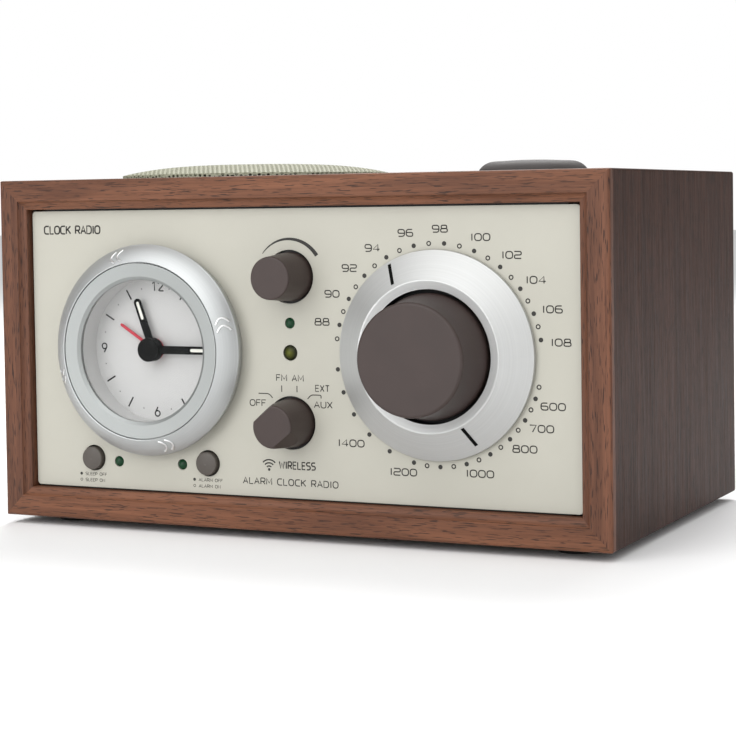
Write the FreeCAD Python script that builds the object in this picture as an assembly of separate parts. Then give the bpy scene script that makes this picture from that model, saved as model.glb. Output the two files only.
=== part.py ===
"""Tabletop clock radio in a veneered wooden cabinet, built as separate pieces.

The pieces are drawn in the cabinet's own frame, in millimetres: X to the right, Y back from the
front face of the wooden frame, Z up from the underside of the cabinet. The export moves them so
that the origin lies under the middle of the whole radio, on the surface that its feet stand on.
"""

import FreeCAD
import Part
import math
import os

Vec = FreeCAD.Vector

# Cabinet
WIDTH = 212.7
HEIGHT = 111.5
DEPTH = 133.4
WALL = 7.0
CORNER_RADIUS = 0.8
FOOT_HEIGHT = 2.8
FOOT_RADIUS = 6.5
FOOT_INSET = 17.0

# Wooden frame round the front panel
FRAME_FACE = 9.7
FRAME_FLAT = 6.9
FRAME_CAP = 3.0
FRAME_DEPTH = 12.0
LIP_BACK = 5.5
TONGUE = 8.2

# Front panel and the chassis plate behind it
PANEL_FRONT = 4.0
PANEL_BACK = 5.5
CHASSIS_BACK = 8.0
PANEL_GAP = 0.6
MIDDLE = 56.2

# Clock
CLOCK_X = -50.0
BEZEL_RADIUS = 34.1
BEZEL_CREST_RADIUS = 28.7
BEZEL_CREST = -5.0
BEZEL_LEDGE_RADIUS = 28.4
BEZEL_LEDGE = -3.6
BEZEL_BORE = 25.35
GUIDE_RADIUS = 25.2
GUIDE_FRONT = -3.1
GUIDE_BORE = 23.6
LENS_OPENING = 22.8
LENS_BACK = -1.9
DIAL_CUP_RADIUS = 23.5
DIAL_FRONT = 5.8
DIAL_BACK = 6.8
CARRIER_BACK = 7.9
CASE_FLOOR = 14.0
CASE_BACK = 16.0
CLOCK_HOLE = 31.2
ARBOR_HOLE = 2.2
HAND_HUB_RADIUS = 3.8
HAND_WIDTH = 2.6
HOUR_ANGLE = -19.5
MINUTE_ANGLE = 90.0
ALARM_ANGLE = -57.5

# Gears
PRESSURE_ANGLE = math.radians(20)
BACKLASH = 0.14

# Clock setting gears
CLOCK_MODULE = 0.8
BEZEL_TEETH = 70
PINION_TEETH = 14
IDLER_TEETH = 14
ALARM_TEETH = 28
PINION_ANGLE = 45.0
BEZEL_GEAR_FRONT = 8.2
BEZEL_GEAR_BACK = 12.0
AXLE_RADIUS = 0.95

# Tuning dial with its five to one reduction
DIAL_X = 50.0
RING_RADIUS = 32.0
RING_CREST_RADIUS = 22.9
RING_CREST = -3.7
RING_BORE = 20.1
RING_FLOOR = 0.8
KNOB_BASE_RADIUS = 19.1
KNOB_FACE_RADIUS = 17.1
KNOB_FRONT = -16.8
HUB_RADIUS = 5.4
INPUT_RADIUS = 2.5
DRIVE_MODULE = 0.6
SUN_TEETH = 12
PLANET_TEETH = 18
RING_TEETH = 48
PLANETS = 3
PLANET_REACH = DRIVE_MODULE * (SUN_TEETH + PLANET_TEETH) / 2
PIN_RADIUS = 1.2
GEAR_FRONT = 12.5
GEAR_BACK = 16.5
HOUSING_BACK = 20.7

# Variable capacitor
PLATE_COUNT = 8
PLATE_PITCH = 2.2
PLATE_THICK = 0.6
FIRST_PLATE = 24.5

# Small knobs
SMALL_BASE_RADIUS = 7.75
SMALL_FACE_RADIUS = 6.65
SMALL_FRONT = -9.1
SMALL_BACK = 4.9
SMALL_HOLE = 8.45
SHAFT_RADIUS = 3.0
BUSHING_HOLE = 3.7
NUT_FRONT = 3.9
VOLUME_Z = 79.8
MODE_Z = 34.0
MODE_ANGLE = -38.5
FLAT_DISTANCE = 5.1

# Push buttons and lamps
BUTTONS_X = -51.9
BUTTON_RADIUS = 3.75
BUTTON_HOLE = 4.25
BUTTON_SPREAD = 21.6
BUTTON_Z = 20.0
BUTTON_BOARD_FRONT = 15.5
BOARD_FRONT = 20.0
LAMP_SPREAD = 12.0
LAMP_Z = 19.2
GREEN_Z = 65.3
AMBER_Z = 56.0
GREEN_RADIUS = 1.65
AMBER_RADIUS = 2.4

# Top: speaker, grille and snooze button
SPEAKER_X = -45.5
TOP_Y = DEPTH / 2
TOP_INSIDE = HEIGHT - WALL
BASKET_FLANGE = TOP_INSIDE - 2.2
SPEAKER_BOLT_CIRCLE = 40.6
GRILLE_RADIUS = 46.3
GRILLE_RISE = 4.9
GRILLE_CROWN = 28.0
GRILLE_CROWN_DROP = 0.5
GRILLE_EDGE_DROP = 3.4
GRILLE_WALL = 1.0
SNOOZE_X = 57.8
SNOOZE_RADIUS = 17.8
SNOOZE_RISE = 4.3
SNOOZE_CROWN = 12.0
SNOOZE_CROWN_DROP = 0.45
SNOOZE_FLOOR = 97.0

# Rear panel
REAR_FRONT = 121.4
REAR_BACK = 124.4
PORT_X = -70.0
PORT_Z = 36.0
PORT_RADIUS = 11.0
JACK_Z = 28.0
JACK_XS = (-12.0, 6.0)
JACK_BORE = 1.8
INLET_X = 74.0
INLET_Z = 28.0
INLET_HALF = 8.6
INLET_RADIUS = 4.4
AERIAL_Z = 84.0
COAX_X = 8.0
COAX_RADIUS = 4.75
COAX_NECK = 5.6
POST_XS = (34.0, 50.0)
SWITCH_X = 76.0
SWITCH_TRAVEL = 4.0

# Corner blocks and screws
BLOCK = 11.0
BLOCK_LENGTH = 20.0
SCREW_RADIUS = 1.45
SCREW_HEAD = 3.0
SCREW_LENGTH = 11.5
CHASSIS_BOSS_FLOOR = 9.0

# The exported frame
FRONT_Y = -(DEPTH + KNOB_FRONT) / 2
PLACE = Vec(0, FRONT_Y, FOOT_HEIGHT)


# ---------------------------------------------------------------- shapes

def box(x0, x1, y0, y1, z0, z1):
    return Part.makeBox(x1 - x0, y1 - y0, z1 - z0, Vec(x0, y0, z0))


def rod(radius, y0, y1, x=0.0, z=0.0):
    """A cylinder along Y."""
    return Part.makeCylinder(radius, y1 - y0, Vec(x, y0, z), Vec(0, 1, 0))


def post(radius, z0, z1, x=0.0, y=0.0):
    """A cylinder along Z."""
    return Part.makeCylinder(radius, z1 - z0, Vec(x, y, z0), Vec(0, 0, 1))


def tube(outer, inner, y0, y1, x=0.0, z=0.0):
    return rod(outer, y0, y1, x, z).cut(rod(inner, y0, y1, x, z))


def joined(first, *others):
    """One solid from pieces that touch."""
    return first.multiFuse(list(others)).removeSplitter()


def without(body, *cutters):
    for cutter in cutters:
        body = body.cut(cutter)
    return body


def arc(middle, end):
    """A step of an outline: from the last point through middle to end."""
    return {"middle": middle, "end": end}


def closed_face(outline, to_point):
    """A face from (a, b) points and arcs. to_point turns (a, b) into a vector."""
    start = to_point(outline[0])
    last = start
    edges = []
    for step in outline[1:] + outline[:1]:
        if isinstance(step, dict):
            end = to_point(step["end"])
            edges.append(Part.Arc(last, to_point(step["middle"]), end).toShape())
        else:
            end = to_point(step)
            if end.distanceToPoint(last) > 1e-7:
                edges.append(Part.LineSegment(last, end).toShape())
        last = end
    return Part.Face(Part.Wire(edges))


def turned(outline, x=0.0, z=0.0):
    """Revolves (radius, y) points about a line along Y through x, z."""
    face = closed_face(outline, lambda p: Vec(p[0], p[1], 0))
    solid = face.revolve(Vec(0, 0, 0), Vec(0, 1, 0), 360)
    solid.translate(Vec(x, 0, z))
    return solid


def turned_up(outline, x=0.0, y=0.0):
    """Revolves (radius, z) points about a line along Z through x, y."""
    face = closed_face(outline, lambda p: Vec(p[0], 0, p[1]))
    solid = face.revolve(Vec(0, 0, 0), Vec(0, 0, 1), 360)
    solid.translate(Vec(x, y, 0))
    return solid


def cap_height(radius, rim_radius, rise):
    """Height above its rim of a spherical cap, at a radius."""
    sphere = (rim_radius ** 2 + rise ** 2) / (2 * rise)
    return math.sqrt(sphere ** 2 - radius ** 2) - (sphere - rise)


def slab(outline, y0, y1):
    """Extrudes (x, z) points from y0 to y1."""
    face = closed_face(outline, lambda p: Vec(p[0], y0, p[1]))
    return face.extrude(Vec(0, y1 - y0, 0))


def rounded_slab(x0, x1, z0, z1, radius, y0, y1):
    """A plate that faces front, with rounded corners."""
    slack = radius * (1 - math.sqrt(0.5))
    return slab([
        (x0 + radius, z0), (x1 - radius, z0), arc((x1 - slack, z0 + slack), (x1, z0 + radius)),
        (x1, z1 - radius), arc((x1 - slack, z1 - slack), (x1 - radius, z1)),
        (x0 + radius, z1), arc((x0 + slack, z1 - slack), (x0, z1 - radius)),
        (x0, z0 + radius), arc((x0 + slack, z0 + slack), (x0 + radius, z0)),
    ], y0, y1)


def clock_point(radius, degrees):
    """(x, z) at an angle counted clockwise from the top, as a clock's hands are."""
    turn = math.radians(degrees)
    return radius * math.sin(turn), radius * math.cos(turn)


def spun(shape, degrees, x, z):
    """Turns a shape clockwise, as seen from the front, about a line along Y through x, z."""
    turned_shape = shape.copy()
    turned_shape.rotate(Vec(x, 0, z), Vec(0, 1, 0), degrees)
    return turned_shape


def moved(shape, x=0.0, y=0.0, z=0.0):
    copy = shape.copy()
    copy.translate(Vec(x, y, z))
    return copy


def group(shapes):
    return Part.makeCompound(list(shapes))


# ---------------------------------------------------------------- gears

def gear_outline(teeth, module, addendum, dedendum, thinning, phase):
    """Involute teeth as (x, z) points. phase is the direction of one tooth, in radians from +X."""
    pitch = teeth * module / 2
    base = pitch * math.cos(PRESSURE_ANGLE)
    tip = pitch + addendum * module
    root = pitch - dedendum * module
    involute_at_pitch = math.tan(PRESSURE_ANGLE) - PRESSURE_ANGLE
    half_at_pitch = math.pi / (2 * teeth) - thinning / (2 * pitch)

    def half_angle(radius):
        if radius <= base:
            return half_at_pitch + involute_at_pitch
        angle = math.acos(base / radius)
        return half_at_pitch + involute_at_pitch - (math.tan(angle) - angle)

    radii = (root, pitch, (pitch + tip) / 2, tip)
    flank = [(radius, half_angle(radius)) for radius in radii]
    points = []
    for tooth in range(teeth):
        centre = phase + 2 * math.pi * tooth / teeth
        polar = [(r, centre - a) for r, a in flank] + [(r, centre + a) for r, a in reversed(flank)]
        points += [(r * math.cos(t), r * math.sin(t)) for r, t in polar]
    return points


def spur_gear(teeth, module, phase, y0, y1, x, z):
    outline = gear_outline(teeth, module, 0.95, 1.2, BACKLASH / 2, phase)
    return moved(slab(outline, y0, y1), x, 0, z)


def ring_cutter(teeth, module, phase, y0, y1, x, z):
    """What is cut away to leave an internal gear. phase is the direction of one space."""
    outline = gear_outline(teeth, module, 1.25, 0.85, -BACKLASH / 2, phase)
    return moved(slab(outline, y0, y1), x, 0, z)


def tooth_share(phase, teeth, direction):
    """How far past a tooth's centre a direction lies, as a share of the pitch."""
    return ((direction - phase) * teeth / (2 * math.pi)) % 1.0


def meshing_phase(phase, teeth, direction, next_teeth):
    """The phase of an outside gear that meshes with one whose phase is known."""
    share = 0.5 - tooth_share(phase, teeth, direction)
    return direction + math.pi - share * 2 * math.pi / next_teeth


def meshing_space(phase, teeth, direction, ring_teeth):
    """The phase of the spaces of an internal gear round a gear whose phase is known."""
    return direction - tooth_share(phase, teeth, direction) * 2 * math.pi / ring_teeth


# ---------------------------------------------------------------- cabinet

def mitred(side, thickness, y0, y1):
    """One side of a mitred box whose outside is the cabinet's."""
    half = WIDTH / 2
    inner = half - thickness
    corners = {
        "bottom": [(-half, 0), (half, 0), (inner, thickness), (-inner, thickness)],
        "top": [(-half, HEIGHT), (-inner, HEIGHT - thickness), (inner, HEIGHT - thickness),
                (half, HEIGHT)],
        "left": [(-half, 0), (-inner, thickness), (-inner, HEIGHT - thickness), (-half, HEIGHT)],
        "right": [(half, 0), (half, HEIGHT), (inner, HEIGHT - thickness), (inner, thickness)],
    }
    outside = rounded_slab(-half, half, 0, HEIGHT, CORNER_RADIUS, y0, y1)
    return slab(corners[side], y0, y1).common(outside)


def frame_section():
    """The moulding's outline: distance in from the cabinet's outside, and depth."""
    edge = 1.0
    slack = edge * (1 - math.sqrt(0.5))
    return [
        (0, FRAME_CAP), (0, edge), arc((slack, slack), (edge, 0)), (FRAME_FLAT, 0),
        (FRAME_FLAT + 0.25, 0.45), arc((8.0, 1.15), (9.3, 1.45)),
        arc((9.58, 1.57), (FRAME_FACE, 1.85)), (FRAME_FACE, LIP_BACK), (TONGUE, LIP_BACK),
        (TONGUE, FRAME_DEPTH), (WALL, FRAME_DEPTH), (WALL, FRAME_CAP),
    ]


def frame_rail(side):
    to_point = {
        "bottom": lambda p: Vec(-WIDTH / 2, p[1], p[0]),
        "top": lambda p: Vec(-WIDTH / 2, p[1], HEIGHT - p[0]),
        "left": lambda p: Vec(-WIDTH / 2 + p[0], p[1], 0),
        "right": lambda p: Vec(WIDTH / 2 - p[0], p[1], 0),
    }
    along = Vec(WIDTH, 0, 0) if side in ("bottom", "top") else Vec(0, 0, HEIGHT)
    moulding = closed_face(frame_section(), to_point[side]).extrude(along)
    return moulding.common(mitred(side, FRAME_FACE, 0, FRAME_DEPTH))


def cabinet_wall(side):
    wall = mitred(side, WALL, FRAME_CAP, DEPTH)
    if side == "top":
        wall = without(
            wall,
            post(38.0, HEIGHT - WALL, HEIGHT, SPEAKER_X, TOP_Y),
            post(SNOOZE_RADIUS + 0.5, HEIGHT - WALL, HEIGHT, SNOOZE_X, TOP_Y),
            *speaker_bolts(),
        )
    return wall


def block_corners():
    """(x0, z0) of the four corner blocks, inside the walls."""
    low, high = WALL, HEIGHT - WALL - BLOCK
    left, right = -WIDTH / 2 + WALL, WIDTH / 2 - WALL - BLOCK
    return [(left, low), (right, low), (left, high), (right, high)]


def corner_blocks():
    """Glue blocks that take the screws of the front chassis and of the rear panel."""
    blocks = []
    for x, z in block_corners():
        centre_x, centre_z = x + BLOCK / 2, z + BLOCK / 2
        for y0, y1, hole0, hole1 in (
            (FRAME_DEPTH, FRAME_DEPTH + BLOCK_LENGTH, FRAME_DEPTH, FRAME_DEPTH + 9.0),
            (REAR_FRONT - BLOCK_LENGTH, REAR_FRONT, REAR_FRONT - 9.0, REAR_FRONT),
        ):
            block = box(x, x + BLOCK, y0, y1, z, z + BLOCK)
            blocks.append(block.cut(rod(SCREW_RADIUS, hole0, hole1, centre_x, centre_z)))
    return group(blocks)


def rubber_feet():
    feet = []
    for x in (-WIDTH / 2 + FOOT_INSET, WIDTH / 2 - FOOT_INSET):
        for y in (FOOT_INSET, DEPTH - FOOT_INSET):
            foot = turned_up([
                (0, 0), (0, -FOOT_HEIGHT), (FOOT_RADIUS - 1.1, -FOOT_HEIGHT),
                arc((FOOT_RADIUS - 0.6, -FOOT_HEIGHT + 0.2), (FOOT_RADIUS - 0.4, -FOOT_HEIGHT + 0.7)),
                (FOOT_RADIUS, 0),
            ], x, y)
            feet.append(foot)
    return group(feet)


# ---------------------------------------------------------------- screws

def screw(head_y, x, z, way):
    """A cross-head screw along Y. way is 1 if it points back and -1 if it points to the front."""
    def y(distance):
        return head_y + way * distance
    outline = [
        (0, y(-1.3)), arc((1.9, y(-1.0)), (SCREW_HEAD, y(0))), (SCREW_RADIUS, y(0)),
        (SCREW_RADIUS, y(SCREW_LENGTH - 2)), (0, y(SCREW_LENGTH)),
    ]
    body = turned(outline, x, z)
    near, far = sorted((y(-1.4), y(-0.55)))
    slot_a = box(x - 1.6, x + 1.6, near, far, z - 0.3, z + 0.3)
    slot_b = box(x - 0.3, x + 0.3, near, far, z - 1.6, z + 1.6)
    return without(body, slot_a, slot_b)


def rear_screw_places():
    """The four corner blocks take the rear panel."""
    return [(x + BLOCK / 2, z + BLOCK / 2) for x, z in block_corners()]


def speaker_bolts():
    bolts = []
    for quarter in range(4):
        turn = math.radians(45 + 90 * quarter)
        x = SPEAKER_X + SPEAKER_BOLT_CIRCLE * math.cos(turn)
        y = TOP_Y + SPEAKER_BOLT_CIRCLE * math.sin(turn)
        head = post(2.6, BASKET_FLANGE - 1.6, BASKET_FLANGE, x, y)
        bolts.append(joined(head, post(1.2, BASKET_FLANGE, HEIGHT - WALL + 5.0, x, y)))
    return bolts


def panel_screws():
    rear = [screw(REAR_BACK, x, z, -1) for x, z in rear_screw_places()]
    front = [screw(CHASSIS_BOSS_FLOOR, x, z, 1) for x, z in rear_screw_places()]
    return group(rear + front + speaker_bolts())


# ---------------------------------------------------------------- front panel and chassis

def front_openings(y0, y1, knob_hole, button_hole):
    """The holes that the controls, lamps, buttons and clock need."""
    holes = [
        rod(CLOCK_HOLE, y0, y1, CLOCK_X, MIDDLE),
        rod(HUB_RADIUS + 0.8, y0, y1, DIAL_X, MIDDLE),
        rod(knob_hole, y0, y1, 0, VOLUME_Z),
        rod(knob_hole, y0, y1, 0, MODE_Z),
        rod(GREEN_RADIUS + 0.1, y0, y1, 0, GREEN_Z),
        rod(AMBER_RADIUS + 0.1, y0, y1, 0, AMBER_Z),
    ]
    for way in (-1, 1):
        holes.append(rod(button_hole, y0, y1, BUTTONS_X + way * BUTTON_SPREAD, BUTTON_Z))
        holes.append(rod(GREEN_RADIUS + 0.1, y0, y1, BUTTONS_X + way * LAMP_SPREAD, LAMP_Z))
    return holes


def front_panel():
    edge = FRAME_FACE + PANEL_GAP
    plate = rounded_slab(-WIDTH / 2 + edge, WIDTH / 2 - edge, edge, HEIGHT - edge, 1.2,
                         PANEL_FRONT, PANEL_BACK)
    return without(plate, *front_openings(PANEL_FRONT, PANEL_BACK, SMALL_HOLE, BUTTON_HOLE))


def front_chassis():
    edge = TONGUE + 0.15
    plate = rounded_slab(-WIDTH / 2 + edge, WIDTH / 2 - edge, edge, HEIGHT - edge, 1.0,
                         PANEL_BACK, CHASSIS_BACK)
    guide = BUTTON_RADIUS + 0.3
    plate = without(plate, *front_openings(PANEL_BACK, CHASSIS_BACK, BUSHING_HOLE, guide))
    additions = []
    for x, z in rear_screw_places():
        additions.append(rod(4.2, CHASSIS_BACK, FRAME_DEPTH, x, z))
    for way in (-1, 1):
        x = BUTTONS_X + way * BUTTON_SPREAD
        additions.append(tube(5.4, guide, CHASSIS_BACK, 10.6, x, BUTTON_Z))
        additions.append(rod(1.8, CHASSIS_BACK, BUTTON_BOARD_FRONT, BUTTONS_X + way * 31, 13.6))
    chassis = joined(plate, *additions)
    for x, z in rear_screw_places():
        chassis = chassis.cut(rod(SCREW_HEAD + 0.3, PANEL_BACK, CHASSIS_BOSS_FLOOR, x, z))
        chassis = chassis.cut(rod(SCREW_RADIUS, CHASSIS_BOSS_FLOOR, FRAME_DEPTH, x, z))
    return chassis


# ---------------------------------------------------------------- clock

def centre_distance(teeth_a, teeth_b):
    return CLOCK_MODULE * (teeth_a + teeth_b) / 2


def gear_places():
    """Centres and directions of the setting pinion and of the idler, from the clock's axis."""
    pinion_reach = CLOCK_MODULE * (BEZEL_TEETH - PINION_TEETH) / 2
    idler_reach = centre_distance(IDLER_TEETH, ALARM_TEETH)
    between = centre_distance(PINION_TEETH, IDLER_TEETH)
    cosine = (pinion_reach ** 2 + idler_reach ** 2 - between ** 2) / (2 * pinion_reach * idler_reach)
    pinion_turn = math.radians(PINION_ANGLE)
    idler_turn = pinion_turn - math.acos(cosine)
    pinion = (CLOCK_X + pinion_reach * math.cos(pinion_turn),
              MIDDLE + pinion_reach * math.sin(pinion_turn))
    idler = (CLOCK_X + idler_reach * math.cos(idler_turn),
             MIDDLE + idler_reach * math.sin(idler_turn))
    return pinion, idler, pinion_turn, idler_turn


def gear_phases():
    """Phases that put the bezel's teeth, pinion, idler and alarm wheel in mesh."""
    pinion, idler, pinion_turn, idler_turn = gear_places()
    pinion_phase = 0.0
    space = meshing_space(pinion_phase, PINION_TEETH, pinion_turn, BEZEL_TEETH)
    to_idler = math.atan2(idler[1] - pinion[1], idler[0] - pinion[0])
    idler_phase = meshing_phase(pinion_phase, PINION_TEETH, to_idler, IDLER_TEETH)
    alarm_phase = meshing_phase(idler_phase, IDLER_TEETH, idler_turn + math.pi, ALARM_TEETH)
    return space, pinion_phase, idler_phase, alarm_phase


def clock_case():
    """Guide tube and dial seat in front, three pillars and two axles, and the rear plate."""
    seat = turned([
        (ARBOR_HOLE, DIAL_BACK), (GUIDE_BORE, DIAL_BACK), (GUIDE_BORE, GUIDE_FRONT),
        (GUIDE_RADIUS, GUIDE_FRONT), (GUIDE_RADIUS, CARRIER_BACK), (ARBOR_HOLE, CARRIER_BACK),
    ], CLOCK_X, MIDDLE)
    rear = turned([
        (ARBOR_HOLE, CASE_FLOOR), (CLOCK_HOLE + 0.5, CASE_FLOOR), (CLOCK_HOLE + 0.5, CHASSIS_BACK),
        (33.2, CHASSIS_BACK), (33.2, CASE_BACK), (ARBOR_HOLE, CASE_BACK),
    ], CLOCK_X, MIDDLE)
    pillars = []
    for degrees in (110, 200, 290):
        turn = math.radians(degrees)
        pillars.append(rod(2.2, CARRIER_BACK, CASE_FLOOR,
                           CLOCK_X + 19 * math.cos(turn), MIDDLE + 19 * math.sin(turn)))
    pinion, idler, _, _ = gear_places()
    axles = [rod(AXLE_RADIUS, CARRIER_BACK, CASE_FLOOR, x, z) for x, z in (pinion, idler)]
    return joined(seat, rear, *pillars, *axles)


def clock_dial():
    """A white cup: the dial with the wall that rises from it to the lens."""
    wall = DIAL_CUP_RADIUS - 0.35
    return turned([
        (ARBOR_HOLE, DIAL_FRONT), (wall, DIAL_FRONT), (wall, LENS_BACK), (DIAL_CUP_RADIUS, LENS_BACK),
        (DIAL_CUP_RADIUS, DIAL_BACK), (ARBOR_HOLE, DIAL_BACK),
    ], CLOCK_X, MIDDLE)


def clock_lens():
    return rod(DIAL_CUP_RADIUS, GUIDE_FRONT, LENS_BACK, CLOCK_X, MIDDLE)


def lens_ring():
    """Flat ring over the edge of the lens, seated on the guide tube."""
    rim = BEZEL_LEDGE_RADIUS - 0.2
    under = BEZEL_LEDGE - 0.3
    seat = GUIDE_RADIUS - 0.1
    return turned([
        (rim, under), (rim, -4.65), arc((rim - 0.06, -4.78), (rim - 0.2, -4.83)), (23.9, -4.45),
        (LENS_OPENING + 0.1, -3.7), (LENS_OPENING, -3.4), (LENS_OPENING, GUIDE_FRONT),
        (seat, GUIDE_FRONT), (seat, under),
    ], CLOCK_X, MIDDLE)


def clock_bezel():
    """Ring that turns on the guide tube, with its ledge, sloped face and internal teeth."""
    blank = turned([
        (BEZEL_BORE, BEZEL_LEDGE), (BEZEL_LEDGE_RADIUS, BEZEL_LEDGE),
        (BEZEL_LEDGE_RADIUS, BEZEL_CREST + 0.25),
        arc((BEZEL_LEDGE_RADIUS + 0.09, BEZEL_CREST + 0.07), (BEZEL_CREST_RADIUS, BEZEL_CREST)),
        arc((31.5, -3.1), (BEZEL_RADIUS - 0.3, -0.7)),
        arc((BEZEL_RADIUS - 0.07, -0.47), (BEZEL_RADIUS, -0.2)),
        (BEZEL_RADIUS - 1.2, 3.6), (30.6, 3.6), (30.6, BEZEL_GEAR_BACK), (27.2, BEZEL_GEAR_BACK),
        (27.2, BEZEL_GEAR_FRONT), (BEZEL_BORE, BEZEL_GEAR_FRONT),
    ], CLOCK_X, MIDDLE)
    space = gear_phases()[0]
    cutter = ring_cutter(BEZEL_TEETH, CLOCK_MODULE, space, BEZEL_GEAR_FRONT, BEZEL_GEAR_BACK,
                         CLOCK_X, MIDDLE)
    return blank.cut(cutter)


def setting_pinion():
    (x, z), _, _, _ = gear_places()
    phase = gear_phases()[1]
    gear = spur_gear(PINION_TEETH, CLOCK_MODULE, phase, 8.6, 13.4, x, z)
    return gear.cut(rod(AXLE_RADIUS + 0.08, 8.6, 13.4, x, z))


def idler_gear():
    _, (x, z), _, _ = gear_places()
    phase = gear_phases()[2]
    gear = spur_gear(IDLER_TEETH, CLOCK_MODULE, phase, 12.2, 13.4, x, z)
    return gear.cut(rod(AXLE_RADIUS + 0.08, 12.2, 13.4, x, z))


def alarm_wheel():
    """The wheel and the tube that carries the alarm hand."""
    phase = gear_phases()[3]
    wheel = spur_gear(ALARM_TEETH, CLOCK_MODULE, phase, 12.2, 13.4, CLOCK_X, MIDDLE)
    body = joined(wheel, rod(1.95, 4.0, 12.2, CLOCK_X, MIDDLE))
    return body.cut(rod(1.6, 4.0, 13.4, CLOCK_X, MIDDLE))


def blade(length, width, tail, y0, y1):
    """A hand's blade that points up from the clock's axis, with a rounded tip."""
    half = width / 2
    shoulder = length - half
    return moved(slab([
        (-half, -tail), (half, -tail), (half, shoulder),
        arc((0, length), (-half, shoulder)),
    ], y0, y1), CLOCK_X, 0, MIDDLE)


def alarm_hand():
    hub = rod(HAND_HUB_RADIUS - 0.2, 4.0, 4.7, CLOCK_X, MIDDLE)
    hand = joined(blade(14.9, 0.95, 0, 4.3, 4.6), hub)
    hand = hand.cut(rod(1.95, 4.0, 4.7, CLOCK_X, MIDDLE))
    return spun(hand, ALARM_ANGLE, CLOCK_X, MIDDLE)


def windowed(hand, inner, outer, width, y0, y1):
    """Cuts the slot that holds the luminous fill."""
    half = width / 2
    slot = moved(slab([
        (-half, inner + half), arc((0, inner), (half, inner + half)),
        (half, outer - half), arc((0, outer), (-half, outer - half)),
    ], y0, y1), CLOCK_X, 0, MIDDLE)
    return hand.cut(slot)


def hour_hand():
    hand = joined(
        blade(17.3, HAND_WIDTH, 0, 3.2, 3.6),
        rod(HAND_HUB_RADIUS, 2.8, 3.85, CLOCK_X, MIDDLE),
        rod(1.45, 3.85, 17.4, CLOCK_X, MIDDLE),
    )
    hand = windowed(hand, 10.2, 16.3, 1.05, 3.2, 3.6)
    hand = hand.cut(rod(1.05, 2.8, 17.4, CLOCK_X, MIDDLE))
    return spun(hand, HOUR_ANGLE, CLOCK_X, MIDDLE)


def minute_hand():
    hand = joined(
        blade(20.9, HAND_WIDTH, 0, 1.9, 2.3),
        rod(HAND_HUB_RADIUS, 0.4, 2.5, CLOCK_X, MIDDLE),
        rod(0.9, 2.5, 18.4, CLOCK_X, MIDDLE),
    )
    hand = windowed(hand, 14.9, 19.9, 1.05, 1.9, 2.3)
    return spun(hand, MINUTE_ANGLE, CLOCK_X, MIDDLE)


def clock_movement():
    """Quartz movement with its cell in a bay at the back."""
    half = 27.5
    body = rounded_slab(CLOCK_X - half, CLOCK_X + half, MIDDLE - half, MIDDLE + half, 3.0,
                        CASE_BACK, CASE_BACK + 15)
    bore = rod(1.6, CASE_BACK, CASE_BACK + 2.6, CLOCK_X, MIDDLE)
    bay_z = MIDDLE - 17.0
    bay = box(CLOCK_X - 26, CLOCK_X + 26, CASE_BACK + 2, CASE_BACK + 15, bay_z - 7.6, bay_z + 7.6)
    cell_y = CASE_BACK + 9.4
    cell = Part.makeCylinder(7.1, 49, Vec(CLOCK_X - 25.5, cell_y, bay_z), Vec(1, 0, 0))
    button = Part.makeCylinder(2.7, 1.2, Vec(CLOCK_X + 23.5, cell_y, bay_z), Vec(1, 0, 0))
    return group([without(body, bore, bay), joined(cell, button)])


# ---------------------------------------------------------------- small knobs

def small_knob(z):
    """A tapered knob with a soft front edge, hollow behind to clear the nut."""
    edge = 0.55
    side = (SMALL_BASE_RADIUS - SMALL_FACE_RADIUS) / (SMALL_BACK - SMALL_FRONT)
    return turned([
        (0, SMALL_FRONT), (SMALL_FACE_RADIUS - edge, SMALL_FRONT),
        arc((SMALL_FACE_RADIUS - 0.12, SMALL_FRONT + 0.17),
            (SMALL_FACE_RADIUS + side * edge, SMALL_FRONT + edge)),
        (SMALL_BASE_RADIUS, SMALL_BACK), (6.3, SMALL_BACK), (6.3, 3.3), (SHAFT_RADIUS, 3.3),
        (SHAFT_RADIUS, -5.5), (0, -5.5),
    ], 0, z)


def mode_knob():
    """The mode knob has two opposite flats that lean outwards to the back."""
    knob = small_knob(MODE_Z)
    reach = SMALL_BASE_RADIUS + 2
    for way in (-1, 1):
        wedge = closed_face([
            (FLAT_DISTANCE, SMALL_FRONT - 1), (FLAT_DISTANCE, SMALL_FRONT), (7.9, 0.6),
            (reach, 0.6), (reach, SMALL_FRONT - 1),
        ], lambda p: Vec(-reach, p[1], MODE_Z + way * p[0])).extrude(Vec(2 * reach, 0, 0))
        knob = knob.cut(wedge)
    return spun(knob, MODE_ANGLE, 0, MODE_Z)


def control_shaft(z):
    return rod(SHAFT_RADIUS, -5.5, 16.5, 0, z)


def hexagon_nut(z):
    corner = 4.6 / math.cos(math.radians(30))
    points = [(corner * math.cos(math.radians(60 * k)), z + corner * math.sin(math.radians(60 * k)))
              for k in range(6)]
    return slab(points, NUT_FRONT, PANEL_BACK).cut(rod(3.5, NUT_FRONT, PANEL_BACK, 0, z))


def control_body(z, width, height):
    """Case and threaded bushing of a rotary control, with the nut that clamps it."""
    case = box(-width / 2, width / 2, CHASSIS_BACK, BOARD_FRONT, z - height / 2, z + height / 2)
    body = joined(case, rod(3.5, NUT_FRONT - 0.2, CHASSIS_BACK, 0, z))
    body = body.cut(rod(SHAFT_RADIUS + 0.06, NUT_FRONT - 0.2, 17.0, 0, z))
    return [body, hexagon_nut(z)]


def rotary_controls():
    """The volume potentiometer and the larger mode switch."""
    return group(control_body(VOLUME_Z, 14.0, 15.0) + control_body(MODE_Z, 20.0, 19.0))


# ---------------------------------------------------------------- tuning dial

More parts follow.
